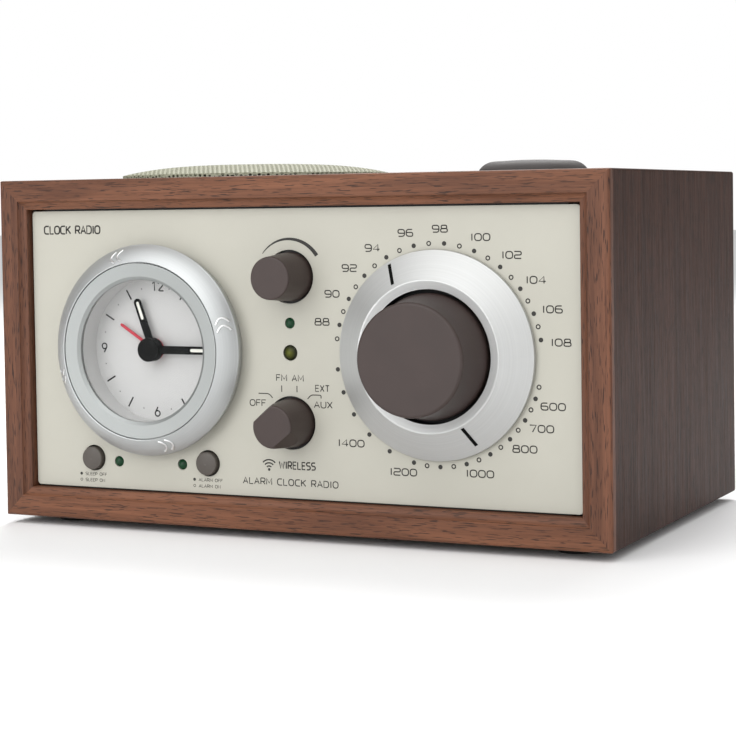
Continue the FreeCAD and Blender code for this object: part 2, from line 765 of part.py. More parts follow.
def tuning_knob():
    edge = 1.0
    return turned([
        (0, KNOB_FRONT), (KNOB_FACE_RADIUS - edge, KNOB_FRONT),
        arc((KNOB_FACE_RADIUS - 0.27, KNOB_FRONT + 0.27), (KNOB_FACE_RADIUS, KNOB_FRONT + edge)),
        arc((17.7, -8.6), (KNOB_BASE_RADIUS - 0.1, -3.2)), (KNOB_BASE_RADIUS, -2.6),
        (KNOB_BASE_RADIUS, 0.2), (INPUT_RADIUS, 0.2), (INPUT_RADIUS, -11.0), (0, -11.0),
    ], DIAL_X, MIDDLE)


def tuning_shaft():
    shaft = rod(INPUT_RADIUS, -11.0, GEAR_BACK, DIAL_X, MIDDLE)
    sun = spur_gear(SUN_TEETH, DRIVE_MODULE, 0.0, GEAR_FRONT - 0.1, GEAR_BACK, DIAL_X, MIDDLE)
    return joined(shaft, sun)


def dial_ring():
    return turned([
        (HUB_RADIUS, RING_FLOOR), (RING_BORE, RING_FLOOR), (RING_BORE, RING_CREST + 1.1),
        arc((RING_BORE + 0.1, RING_CREST + 0.8), (RING_BORE + 0.4, RING_CREST + 0.7)),
        (RING_CREST_RADIUS - 0.3, RING_CREST), arc((RING_CREST_RADIUS + 0.1, RING_CREST - 0.04),
                                                   (RING_CREST_RADIUS + 0.5, RING_CREST + 0.2)),
        (RING_RADIUS - 0.3, 2.05), arc((RING_RADIUS - 0.08, 2.22), (RING_RADIUS, 2.5)),
        (RING_RADIUS, 3.3), (RING_RADIUS - 0.3, 3.6), (HUB_RADIUS, 3.6),
    ], DIAL_X, MIDDLE)


def planet_places():
    turns = [2 * math.pi * k / PLANETS for k in range(PLANETS)]
    return [(DIAL_X + PLANET_REACH * math.cos(t), MIDDLE + PLANET_REACH * math.sin(t), t)
            for t in turns]


def planet_carrier():
    """Hub tube, front plate, three pins, rear plate and output shaft."""
    pins = [rod(PIN_RADIUS, 11.9, 17.0, x, z) for x, z, _ in planet_places()]
    solid = joined(
        rod(HUB_RADIUS, RING_FLOOR, 10.4, DIAL_X, MIDDLE),
        rod(12.4, 10.4, 11.9, DIAL_X, MIDDLE),
        rod(12.4, 17.0, 18.3, DIAL_X, MIDDLE),
        rod(SHAFT_RADIUS, 18.3, 47.0, DIAL_X, MIDDLE),
        *pins,
    )
    return solid.cut(rod(INPUT_RADIUS + 0.08, RING_FLOOR, 11.9, DIAL_X, MIDDLE))


def planet_gear(index):
    x, z, turn = planet_places()[index]
    phase = meshing_phase(0.0, SUN_TEETH, turn, PLANET_TEETH)
    gear = spur_gear(PLANET_TEETH, DRIVE_MODULE, phase, GEAR_FRONT, GEAR_BACK, x, z)
    return gear.cut(rod(PIN_RADIUS + 0.08, GEAR_FRONT, GEAR_BACK, x, z))


def reduction_housing():
    """Gear case with the internal teeth moulded in its wall."""
    turn = planet_places()[0][2]
    planet_phase = meshing_phase(0.0, SUN_TEETH, turn, PLANET_TEETH)
    space = meshing_space(planet_phase, PLANET_TEETH, turn, RING_TEETH)
    lugs = []
    for degrees in (90, 210, 330):
        reach = math.radians(degrees)
        lugs.append(rod(3.6, CHASSIS_BACK, 10.5, DIAL_X + 19 * math.cos(reach),
                        MIDDLE + 19 * math.sin(reach)))
    body = joined(rod(17.6, CHASSIS_BACK, HOUSING_BACK, DIAL_X, MIDDLE), *lugs)
    return without(
        body,
        rod(HUB_RADIUS + 0.1, CHASSIS_BACK, 10.0, DIAL_X, MIDDLE),
        ring_cutter(RING_TEETH, DRIVE_MODULE, space, 10.0, 18.7, DIAL_X, MIDDLE),
        rod(SHAFT_RADIUS + 0.08, 18.7, HOUSING_BACK, DIAL_X, MIDDLE),
    )


def half_plate(outer, inner, y0, z0, z1):
    """The part of a flat ring that lies between two heights."""
    disc = tube(outer, inner, y0, y0 + PLATE_THICK)
    return disc.common(box(-outer, outer, y0, y0 + PLATE_THICK, z0, z1))


def capacitor_stator():
    """Frame of the variable capacitor, with its fixed plates."""
    half = 15.5
    y0, y1 = HOUSING_BACK, HOUSING_BACK + 25.0
    front = box(-half, half, y0, y0 + 1.5, -half, half)
    rear = box(-half, half, y1, y1 + 1.5, -half, half)
    bars = [box(x - 1, x + 1, y0, y1, z - 1, z + 1)
            for x in (-14.4, 14.4) for z in (-14.4, 0.5, 14.4)]
    plates = [half_plate(14.4, 5.2, FIRST_PLATE + PLATE_PITCH * k, 0, 14.4)
              for k in range(PLATE_COUNT)]
    frame = joined(front, rear, *bars, *plates)
    frame = frame.cut(rod(SHAFT_RADIUS + 0.08, y0, y1 + 1.5))
    return moved(frame, DIAL_X, 0, MIDDLE)


def capacitor_rotor():
    offset = PLATE_PITCH / 2
    plates = [half_plate(12.8, 3.5, FIRST_PLATE + offset + PLATE_PITCH * k, -12.8, 0)
              for k in range(PLATE_COUNT)]
    sleeve = tube(4.4, SHAFT_RADIUS, 22.8, 44.8)
    rotor = moved(joined(sleeve, *plates), DIAL_X, 0, MIDDLE)
    return spun(rotor, 40, DIAL_X, MIDDLE)


# ---------------------------------------------------------------- lamps, buttons and boards

def lamp(radius, x, z, board):
    """A lamp with its domed end just proud of the panel, and two legs to its board."""
    rim = PANEL_FRONT + 0.2
    lens = turned([
        (0, rim - 1.0), arc((radius / 2, rim - cap_height(radius / 2, radius, 1.0)), (radius, rim)),
        (radius, CHASSIS_BACK + 0.1), (radius + 0.4, CHASSIS_BACK + 0.1),
        (radius + 0.4, CHASSIS_BACK + 1.0), (0, CHASSIS_BACK + 1.0),
    ], x, z)
    legs = [box(leg - 0.2, leg + 0.2, CHASSIS_BACK + 1.0, board, z - 0.2, z + 0.2)
            for leg in (x - 0.6, x + 0.6)]
    return joined(lens, *legs)


def green_leds():
    small = [lamp(GREEN_RADIUS, BUTTONS_X + way * LAMP_SPREAD, LAMP_Z, BUTTON_BOARD_FRONT)
             for way in (-1, 1)]
    return group([lamp(GREEN_RADIUS, 0, GREEN_Z, BOARD_FRONT), *small])


def push_button(way):
    """A round button with a retaining flange and a thin plunger."""
    x = BUTTONS_X + way * BUTTON_SPREAD
    face = BUTTON_RADIUS - 0.5
    return turned([
        (0, 1.95), arc((face / 2, 2.3 - cap_height(face / 2, face, 0.35)), (face, 2.3)),
        arc((BUTTON_RADIUS - 0.13, 2.42), (BUTTON_RADIUS, 2.8)), (BUTTON_RADIUS, 10.8),
        (BUTTON_RADIUS + 1.0, 10.8), (BUTTON_RADIUS + 1.0, 11.6), (1.2, 11.6), (1.2, 13.6), (0, 13.6),
    ], x, BUTTON_Z)


def tact_switch(x):
    """A switch on the button board, with a bore for the button's plunger."""
    case = box(x - 3, x + 3, 12.6, BUTTON_BOARD_FRONT, BUTTON_Z - 3.9, BUTTON_Z + 2.1)
    return case.cut(rod(1.4, 12.6, 14.8, x, BUTTON_Z))


def control_boards():
    """The board behind the knobs, the one behind the buttons, and the snooze switch's."""
    centre = box(-17, 17, BOARD_FRONT, BOARD_FRONT + 1.6, 22, 92)
    buttons = box(BUTTONS_X - 34, BUTTONS_X + 34, BUTTON_BOARD_FRONT, BUTTON_BOARD_FRONT + 1.6,
                  10, 22.2)
    switches = [tact_switch(BUTTONS_X + way * BUTTON_SPREAD) for way in (-1, 1)]
    snooze = box(SNOOZE_X - 14, SNOOZE_X + 14, TOP_Y - 7, TOP_Y + 7, 85.4, 87.0)
    snooze_switch = box(SNOOZE_X - 3, SNOOZE_X + 3, TOP_Y - 3, TOP_Y + 3, 87.0, 91.6)
    return group([centre, buttons, *switches, snooze, snooze_switch])


# ---------------------------------------------------------------- speaker

def crown(height, radius, drop):
    """The start of a dome's outline: flat on the axis, drop lower at radius."""
    low = height - drop
    return [(0, height), arc((radius / 2, low + cap_height(radius / 2, radius, drop)), (radius, low))]


def speaker_grille():
    """Low dome over the speaker, with a short rim and four clips that reach into the opening."""
    top = HEIGHT + GRILLE_RISE
    inner = GRILLE_RADIUS - GRILLE_WALL
    ceiling = top - GRILLE_WALL
    outside = turned_up([
        *crown(top, GRILLE_CROWN, GRILLE_CROWN_DROP),
        arc((38.0, top - 1.6), (GRILLE_RADIUS, top - GRILLE_EDGE_DROP)),
        (GRILLE_RADIUS, HEIGHT), (0, HEIGHT),
    ], SPEAKER_X, TOP_Y)
    inside = turned_up([
        *crown(ceiling, GRILLE_CROWN, GRILLE_CROWN_DROP),
        arc((37.5, ceiling - 1.6), (inner, ceiling - GRILLE_EDGE_DROP)),
        (inner, HEIGHT - 1), (0, HEIGHT - 1),
    ], SPEAKER_X, TOP_Y)
    clips = []
    for quarter in range(4):
        clip = box(36.4, 37.6, -3, 3, 106.5, top - 2.0)
        clip.rotate(Vec(0, 0, 0), Vec(0, 0, 1), 90 * quarter)
        clips.append(moved(clip, SPEAKER_X, TOP_Y, 0))
    return joined(outside.cut(inside), *clips)


def speaker_basket():
    body = turned_up([
        (36.0, TOP_INSIDE), (43.6, TOP_INSIDE), (43.6, BASKET_FLANGE), (37.6, BASKET_FLANGE),
        (29.5, 86.2), (29.5, 84.6), (10.6, 84.6), (10.6, 86.2), (28.4, 86.2), (36.0, 101.6),
    ], SPEAKER_X, TOP_Y)
    for sixth in range(6):
        window = box(26, 40, -8.5, 8.5, 87.6, 99.5)
        window.rotate(Vec(0, 0, 0), Vec(0, 0, 1), 60 * sixth)
        body = body.cut(moved(window, SPEAKER_X, TOP_Y, 0))
    for bolt in speaker_bolts():
        body = body.cut(bolt)
    return body


def speaker_magnet():
    plate = turned_up([(10.4, 81.6), (27.5, 81.6), (27.5, 84.6), (10.4, 84.6)], SPEAKER_X, TOP_Y)
    ferrite = turned_up([(14, 70), (30.5, 70), (30.5, 81.6), (14, 81.6)], SPEAKER_X, TOP_Y)
    yoke = turned_up([(0, 66), (27.5, 66), (27.5, 70), (8.4, 70), (8.4, 84.6), (0, 84.6)],
                     SPEAKER_X, TOP_Y)
    return group([plate, ferrite, yoke])


def speaker_cone():
    """Paper cone with its dust cap and voice coil former."""
    outer, inner = 10.4, 9.0
    return turned_up([
        (inner, 76.0), (9.6, 76.0), (9.6, 89.6), (31.5, 101.3), (31.5, 102.0), (outer, 91.0),
        arc((outer / 2, 91.0 + cap_height(outer / 2, outer, 3.0)), (0, 94.0)), (0, 93.3),
        arc((inner / 2, 90.9 + cap_height(inner / 2, inner, 2.4)), (inner, 90.9)),
    ], SPEAKER_X, TOP_Y)


def speaker_surround():
    return turned_up([
        (30.8, 102.05), (31.8, 102.05), arc((34.0, 104.9), (36.0, TOP_INSIDE)), (37.7, TOP_INSIDE),
        (37.7, 105.0), (36.1, 105.0), arc((33.9, 105.5), (31.4, 102.6)), (30.8, 102.6),
    ], SPEAKER_X, TOP_Y)


# ---------------------------------------------------------------- snooze button

def snooze_button():
    """Domed cap, skirt and stem, with the clip that stops it lifting out."""
    top = HEIGHT + SNOOZE_RISE
    inner = SNOOZE_RADIUS - 1.6
    cap = turned_up([
        *crown(top, SNOOZE_CROWN, SNOOZE_CROWN_DROP),
        arc((SNOOZE_RADIUS - 2.0, top - 1.35), (SNOOZE_RADIUS - 0.3, top - 2.9)),
        arc((SNOOZE_RADIUS - 0.07, top - 3.25), (SNOOZE_RADIUS, top - 3.6)),
        (SNOOZE_RADIUS, 106.0), (inner, 106.0), (inner, 110.5), (3.0, 113.0), (3.0, 93.2), (0, 93.2),
    ], SNOOZE_X, TOP_Y)
    return joined(cap, post(4.4, 94.3, 95.2, SNOOZE_X, TOP_Y))


def snooze_housing():
    """Cup under the cabinet's top that guides the button and stands on the snooze switch's board."""
    inner = SNOOZE_RADIUS + 0.7
    outer = SNOOZE_RADIUS + 2.2
    flange = SNOOZE_RADIUS + 5.6
    cup = turned_up([
        (inner, TOP_INSIDE), (flange, TOP_INSIDE), (flange, 102.6), (outer, 102.6), (outer, 95.5),
        (3.25, 95.5), (3.25, SNOOZE_FLOOR), (inner, SNOOZE_FLOOR),
    ], SNOOZE_X, TOP_Y)
    legs = [post(1.8, 87.0, 95.5, SNOOZE_X + way * 11.5, TOP_Y) for way in (-1, 1)]
    return joined(cup, *legs)


def snooze_spring():
    wire_radius, coil, turns = 0.35, 5.2, 6
    low, high = SNOOZE_FLOOR + wire_radius, HEIGHT + 0.4
    pitch = (high - low) / turns
    helix = Part.makeLongHelix(pitch, high - low, coil)
    first = helix.Edges[0]
    start = first.valueAt(first.FirstParameter)
    along = first.tangentAt(first.FirstParameter)
    profile = Part.Wire(Part.makeCircle(wire_radius, start, along))
    spring = Part.Wire(helix.Edges).makePipeShell([profile], True, True)
    return moved(spring, SNOOZE_X, TOP_Y, low)


# ---------------------------------------------------------------- inside

def main_board():
    """Amplifier and tuner board on four pillars, with its larger components."""
    x0, x1, y0, y1, low, high = -88.0, 32.0, 50.0, 100.0, 13.0, 14.6
    corners = [(x0 + 5, y0 + 5), (x1 - 5, y0 + 5), (x0 + 5, y1 - 5), (x1 - 5, y1 - 5)]
    board = box(x0, x1, y0, y1, low, high)
    pillars = [post(3.0, WALL, low, x, y) for x, y in corners]
    cans = [post(5.0, high, high + 16, x, 60) for x in (-30.0, -16.0)]
    cans += [post(4.0, high, high + 12, x, 74) for x in (-32.0, -20.0, -8.0)]
    base = box(4, 28, 88, 92, high, high + 22)
    fins = [box(4 + 4.4 * k, 5.6 + 4.4 * k, 76, 88, high, high + 22) for k in range(6)]
    tuner = box(0, 26, 54, 72, high, high + 9)
    chips = [box(x, x + 10, 86, 94, high, high + 2.4) for x in (-44.0, -28.0, -12.0)]
    return group([board, *pillars, *cans, joined(base, *fins), tuner, *chips])


def transformer():
    """Laminated core with its winding round the middle leg."""
    core = box(44, 88, 66, 84, 9, 45)
    core = without(core, box(50, 60, 66, 84, 15, 39), box(72, 82, 66, 84, 15, 39))
    winding = box(50.3, 81.7, 59, 91, 15.3, 38.7).cut(box(60, 72, 66, 84, 15.3, 38.7))
    foot = box(38, 94, 68, 82, WALL, 9)
    return group([core, winding, foot])


def ferrite_antenna():
    """Ferrite rod with its coil, in two clips on the rear panel."""
    y, z = 111.0, 66.0
    rod_solid = Part.makeCylinder(5, 96, Vec(-14, y, z), Vec(1, 0, 0))
    coil = Part.makeCylinder(6.4, 22, Vec(28, y, z), Vec(1, 0, 0))
    coil = coil.cut(Part.makeCylinder(5, 22, Vec(28, y, z), Vec(1, 0, 0)))
    clips = []
    for x in (-4.0, 68.0):
        clip = box(x, x + 5, y - 1, REAR_FRONT, z - 7, z + 7)
        clips.append(clip.cut(Part.makeCylinder(5, 5, Vec(x, y, z), Vec(1, 0, 0))))
    return group([rod_solid, coil, *clips])


# ---------------------------------------------------------------- rear panel

def figure_eight(half, radius, y0, y1):
    """A slot with round ends for the mains socket."""
    return slab([
        (-half + radius, -radius), (half - radius, -radius), arc((half, 0), (half - radius, radius)),
        (-half + radius, radius), arc((-half, 0), (-half + radius, -radius)),
    ], y0, y1)


def bass_port():
    """Flared tube that passes through the rear panel, with a flange on its outside."""
    outer = PORT_RADIUS + 1.6
    flange = PORT_RADIUS + 5.0
    return turned([
        (PORT_RADIUS, 78.0), (outer, 78.0), (outer, REAR_BACK), (flange, REAR_BACK),
        (flange, REAR_BACK + 0.6), arc((flange - 0.4, REAR_BACK + 1.0), (flange - 1.0, REAR_BACK + 1.2)),
        arc((PORT_RADIUS + 1.1, REAR_BACK + 0.1), (PORT_RADIUS, REAR_BACK - 2.9)),
    ], PORT_X, PORT_Z)


def rear_panel():
    gap = 0.3
    half = WIDTH / 2 - WALL - gap
    low, high = WALL + gap, HEIGHT - WALL - gap
    plate = rounded_slab(-half, half, low, high, 1.0, REAR_FRONT, REAR_BACK)
    holes = [rod(3.2, REAR_FRONT, REAR_BACK, x, JACK_Z) for x in JACK_XS]
    holes += [rod(SCREW_RADIUS, REAR_FRONT, REAR_BACK, x, z) for x, z in rear_screw_places()]
    holes.append(rod(PORT_RADIUS + 1.7, REAR_FRONT, REAR_BACK, PORT_X, PORT_Z))
    holes.append(rod(COAX_NECK, REAR_FRONT, REAR_BACK, COAX_X, AERIAL_Z))
    holes += [rod(3.2, REAR_FRONT, REAR_BACK, x, AERIAL_Z) for x in POST_XS]
    holes.append(moved(figure_eight(INLET_HALF + 1.6, INLET_RADIUS + 1.6, REAR_FRONT, REAR_BACK),
                       INLET_X, 0, INLET_Z))
    reach = SWITCH_TRAVEL / 2 + 2.4
    holes.append(box(SWITCH_X - reach, SWITCH_X + reach, REAR_FRONT, REAR_BACK,
                     AERIAL_Z - 2.2, AERIAL_Z + 2.2))
    return without(plate, *holes)


def audio_jack(x):
    """A 3.5 mm socket: box body inside, round nose through the panel."""
    body = joined(box(x - 4, x + 4, REAR_FRONT - 14, REAR_FRONT, JACK_Z - 4, JACK_Z + 4),
                  rod(3.2, REAR_FRONT, REAR_BACK + 0.6, x, JACK_Z))
    return body.cut(rod(JACK_BORE, REAR_BACK + 0.6 - 15.0, REAR_BACK + 0.6, x, JACK_Z))


def mains_inlet():
    """Two-pin figure-eight inlet, recessed in its own moulding."""
    nose = figure_eight(INLET_HALF + 1.6, INLET_RADIUS + 1.6, REAR_FRONT - 14, REAR_BACK + 0.8)
    flange = box(-14, 14, REAR_FRONT - 2, REAR_FRONT, -8, 8)
    recess = figure_eight(INLET_HALF, INLET_RADIUS, REAR_FRONT - 11, REAR_BACK + 0.8)
    shell = joined(nose, flange).cut(recess)
    pins = [rod(1.2, REAR_FRONT - 11, REAR_BACK - 1.5, way * 4.3, 0) for way in (-1, 1)]
    return moved(joined(shell, *pins), INLET_X, 0, INLET_Z)


def coax_socket():
    """Threaded aerial socket, stepped where it passes through the panel."""
    barrel = joined(rod(COAX_NECK, REAR_FRONT, REAR_BACK, COAX_X, AERIAL_Z),
                    rod(COAX_RADIUS, REAR_BACK, REAR_BACK + 7.0, COAX_X, AERIAL_Z))
    collar = rod(6.8, REAR_FRONT - 3, REAR_FRONT, COAX_X, AERIAL_Z)
    return joined(barrel, collar).cut(rod(1.6, REAR_FRONT - 1, REAR_BACK + 7.0, COAX_X, AERIAL_Z))


def aerial_post(x):
    """Screw terminal with a fluted cap."""
    stem = rod(3.2, REAR_FRONT - 4, REAR_BACK + 0.8, x, AERIAL_Z)
    cap = rod(4.5, REAR_BACK + 0.8, REAR_BACK + 7.0, x, AERIAL_Z)
    flutes = []
    for k in range(12):
        dx, dz = clock_point(4.7, 30 * k)
        flutes.append(rod(0.5, REAR_BACK + 1.6, REAR_BACK + 7.0, x + dx, AERIAL_Z + dz))
    return joined(stem, without(cap, *flutes))


def switch_body():
    body = box(SWITCH_X - 8, SWITCH_X + 8, REAR_FRONT - 6, REAR_FRONT - 0.2,
               AERIAL_Z - 4, AERIAL_Z + 4)
    reach = SWITCH_TRAVEL / 2 + 2.4
    return body.cut(box(SWITCH_X - reach, SWITCH_X + reach, REAR_FRONT - 3, REAR_FRONT - 0.2,
                        AERIAL_Z - 2.2, AERIAL_Z + 2.2))


def rear_sockets():
    return group([
        *[audio_jack(x) for x in JACK_XS], mains_inlet(), coax_socket(),
        *[aerial_post(x) for x in POST_XS], switch_body(),
    ])


def antenna_switch():
    """Slider that stands at the left end of its slot, with three grip ribs."""
    x = SWITCH_X - SWITCH_TRAVEL / 2
    slider = box(x - 2.1, x + 2.1, REAR_FRONT - 2.7, REAR_BACK + 1.2, AERIAL_Z - 1.9, AERIAL_Z + 1.9)
    cuts = [box(x + offset - 0.35, x + offset + 0.35, REAR_BACK + 0.6, REAR_BACK + 1.2,
                AERIAL_Z - 1.9, AERIAL_Z + 1.9) for offset in (-1.1, 0.0, 1.1)]
    return without(slider, *cuts)


# ---------------------------------------------------------------- the whole radio

def all_pieces():
    pieces = {
        "corner_blocks": corner_blocks(), "rubber_feet": rubber_feet(),
        "front_panel": front_panel(), "front_chassis": front_chassis(),
        "panel_screws": panel_screws(), "clock_case": clock_case(), "clock_dial": clock_dial(),
        "clock_lens": clock_lens(), "lens_ring": lens_ring(), "clock_bezel": clock_bezel(),
        "clock_movement": clock_movement(), "hour_hand": hour_hand(),
        "minute_hand": minute_hand(), "alarm_hand": alarm_hand(), "alarm_wheel": alarm_wheel(),
        "setting_pinion": setting_pinion(), "idler_gear": idler_gear(),
        "volume_knob": small_knob(VOLUME_Z), "volume_shaft": control_shaft(VOLUME_Z),
        "mode_knob": mode_knob(), "mode_shaft": control_shaft(MODE_Z),
        "rotary_controls": rotary_controls(),
        "tuning_knob": tuning_knob(), "tuning_shaft": tuning_shaft(), "dial_ring": dial_ring(),
        "planet_carrier": planet_carrier(), "reduction_housing": reduction_housing(),
        "capacitor_stator": capacitor_stator(), "capacitor_rotor": capacitor_rotor(),
        "green_leds": green_leds(), "tuning_led": lamp(AMBER_RADIUS, 0, AMBER_Z, BOARD_FRONT),
        "sleep_button": push_button(-1), "alarm_button": push_button(1),
        "control_boards": control_boards(), "speaker_grille": speaker_grille(),
        "speaker_basket": speaker_basket(), "speaker_magnet": speaker_magnet(),
        "speaker_cone": speaker_cone(), "speaker_surround": speaker_surround(),
        "snooze_button": snooze_button(), "snooze_housing": snooze_housing(),
        "snooze_spring": snooze_spring(), "main_board": main_board(),
        "transformer": transformer(), "ferrite_antenna": ferrite_antenna(),
        "rear_panel": rear_panel(), "bass_port": bass_port(), "rear_sockets": rear_sockets(),
        "antenna_switch": antenna_switch(),
    }
    for side in ("top", "bottom", "left", "right"):
        pieces["cabinet_" + side] = cabinet_wall(side)
        pieces["frame_" + side] = frame_rail(side)
    for index in range(PLANETS):
        pieces[f"planet_gear_{index + 1}"] = planet_gear(index)
    return pieces


def main():
    os.makedirs("parts", exist_ok=True)
    for name, shape in sorted(all_pieces().items()):
        solids = shape.Solids
        if not solids or not all(s.isValid() and s.Volume > 0 for s in solids):
            print("check the shape of", name)
        moved(shape, PLACE.x, PLACE.y, PLACE.z).exportStep(f"parts/{name}.step")


if __name__ == "__main__":
    main()
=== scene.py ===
# %% [markdown]
# # A walnut clock radio, finished in Blender
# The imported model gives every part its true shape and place. This lesson adds what the eye looks
# for: wood grain, sprayed and anodised finishes, the printed scale, the perforated grille and the
# clock's numerals. All sizes are in millimetres until the moment a mesh is made, because that is how
# a maker would read them off a drawing.

# %% Load the frame
import bisect
import math

import bmesh
import bpy
from mathutils import Matrix, Vector


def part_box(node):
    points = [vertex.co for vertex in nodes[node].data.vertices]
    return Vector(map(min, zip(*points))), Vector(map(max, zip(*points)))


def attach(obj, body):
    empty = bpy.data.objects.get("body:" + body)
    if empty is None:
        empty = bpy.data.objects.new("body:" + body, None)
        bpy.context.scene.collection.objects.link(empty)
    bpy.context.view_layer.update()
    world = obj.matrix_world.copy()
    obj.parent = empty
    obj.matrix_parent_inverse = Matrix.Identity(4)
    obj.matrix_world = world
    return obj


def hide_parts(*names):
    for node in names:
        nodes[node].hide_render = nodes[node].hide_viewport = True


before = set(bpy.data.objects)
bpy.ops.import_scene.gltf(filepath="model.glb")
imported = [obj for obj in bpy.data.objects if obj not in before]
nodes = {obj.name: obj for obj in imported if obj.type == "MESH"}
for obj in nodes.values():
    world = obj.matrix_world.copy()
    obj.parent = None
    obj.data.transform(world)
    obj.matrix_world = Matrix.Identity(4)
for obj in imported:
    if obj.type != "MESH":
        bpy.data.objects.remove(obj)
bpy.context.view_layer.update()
MM = 0.001


# %% [markdown]
# ## Places
# Nothing is placed by eye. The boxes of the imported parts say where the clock, the dial, the two
# small knobs and the front panel are, so a mark that is drawn round the dial stays on the dial.

# %% Read the places that the drawing needs
def middle(node):
    """The middle of a part's box, in millimetres."""
    low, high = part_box(node)
    return (low + high) / 2 / MM


def front(node):
    """How far forward a part reaches: its lowest y, in millimetres."""
    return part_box(node)[0].y / MM


def top(node):
    """How high a part reaches, in millimetres."""
    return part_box(node)[1].z / MM


CLOCK = middle("clock_dial")
DIAL = middle("dial_ring")
VOLUME = middle("volume_shaft")
MODE = middle("mode_shaft")
PANEL_Y = front("front_panel")
DIAL_SHEET = 1.0
DIAL_FACE_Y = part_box("clock_dial")[1].y / MM - DIAL_SHEET
FRONT_Y = front("frame_top")
TOP_Z = top("cabinet_top")
GRILLE = middle("speaker_grille")
print("front panel at y", round(PANEL_Y, 2), "mm, top of the cabinet at z", round(TOP_Z, 2), "mm")


# %% [markdown]
# ## Helpers for materials
# Colours are picked as sRGB hex codes, the way a paint chart gives them, and the renderer wants them
# linear. One function turns them. Another adds a node of any kind, sets it up and links it, so that
# each material below reads as a short list of what its surface is made of.

# %% Colour and node helpers
def linear(code):
    """An sRGB hex colour as the linear RGBA that a shader reads."""
    parts = [int(code[k:k + 2], 16) / 255 for k in (1, 3, 5)]
    return tuple(c / 12.92 if c <= 0.04045 else ((c + 0.055) / 1.055) ** 2.4 for c in parts) + (1,)


def add(tree, kind, inputs=None, stops=(), **settings):
    """Adds a node, sets its properties, then sets or links its inputs. stops are a ramp's colours."""
    node = tree.nodes.new(kind)
    for name, value in settings.items():
        setattr(node, name, value)
    for position, _ in stops[2:]:
        node.color_ramp.elements.new(position)
    for element, (position, code) in zip(node.color_ramp.elements if stops else (), stops):
        element.position = position
        element.color = linear(code)
    for socket, value in (inputs or {}).items():
        if isinstance(value, bpy.types.NodeSocket):
            tree.links.new(value, node.inputs[socket])
        else:
            node.inputs[socket].default_value = value
    return node


def start_material(name):
    """A material with an empty node tree."""
    material = bpy.data.materials.new(name)
    material.use_nodes = True
    material.node_tree.nodes.clear()
    return material, material.node_tree


def end_material(tree, **sockets):
    """Closes a tree with a Principled shader. Keywords are its sockets, with _ for a space."""
    inputs = {name.replace("_", " "): value for name, value in sockets.items()}
    shader = add(tree, "ShaderNodeBsdfPrincipled", inputs)
    add(tree, "ShaderNodeOutputMaterial", {"Surface": shader.outputs[0]})


print("middle grey #808080 is", round(linear("#808080")[0], 3), "in linear light")


# %% [markdown]
# Nearly every finish here is noise at a real size. Object coordinates are in metres from the object's
# own origin, so dividing them by a length in millimetres makes blotches of that length, and three
# lengths stretch them along X, Y or Z.

# %% Noise at a real size
def pattern(tree, size, **noise):
    """Noise whose blotches are about size millimetres along X, Y and Z."""
    place = add(tree, "ShaderNodeTexCoord").outputs["Object"]
    scaled = add(tree, "ShaderNodeMapping", {
        "Vector": place, "Scale": tuple(1 / (MM * s) for s in size),
    })
    settings = {"Scale": 1.0, "Detail": 2.0, "Roughness": 0.5, **noise}
    return add(tree, "ShaderNodeTexNoise", {"Vector": scaled.outputs[0], **settings}).outputs["Fac"]


def from_axis(tree, x, z):
    """Each point's distance in metres from an axis along Y through x and z, which are in mm."""
    place = add(tree, "ShaderNodeTexCoord").outputs["Object"]
    flat = add(tree, "ShaderNodeMapping", {
        "Vector": place, "Location": (-x * MM, 0.0, -z * MM), "Scale": (1.0, 0.0, 1.0),
    })
    length = add(tree, "ShaderNodeVectorMath", {0: flat.outputs[0]}, operation="LENGTH")
    return length.outputs["Value"]


# %% [markdown]
# ## Walnut
# The moulding on the front is solid walnut, and the four walls are board with sliced walnut veneer.
# Both show three things at three scales: broad bands of growth colour some 8 mm wide, fine fibre
# streaks, and the dark open pores of walnut, dashes about 0.2 mm wide and 4 mm long. Each is a noise
# pattern squeezed across the grain. Turning the squeeze gives the grain its direction, so the rails
# run sideways and the stiles run up, and the mitres show where they meet.

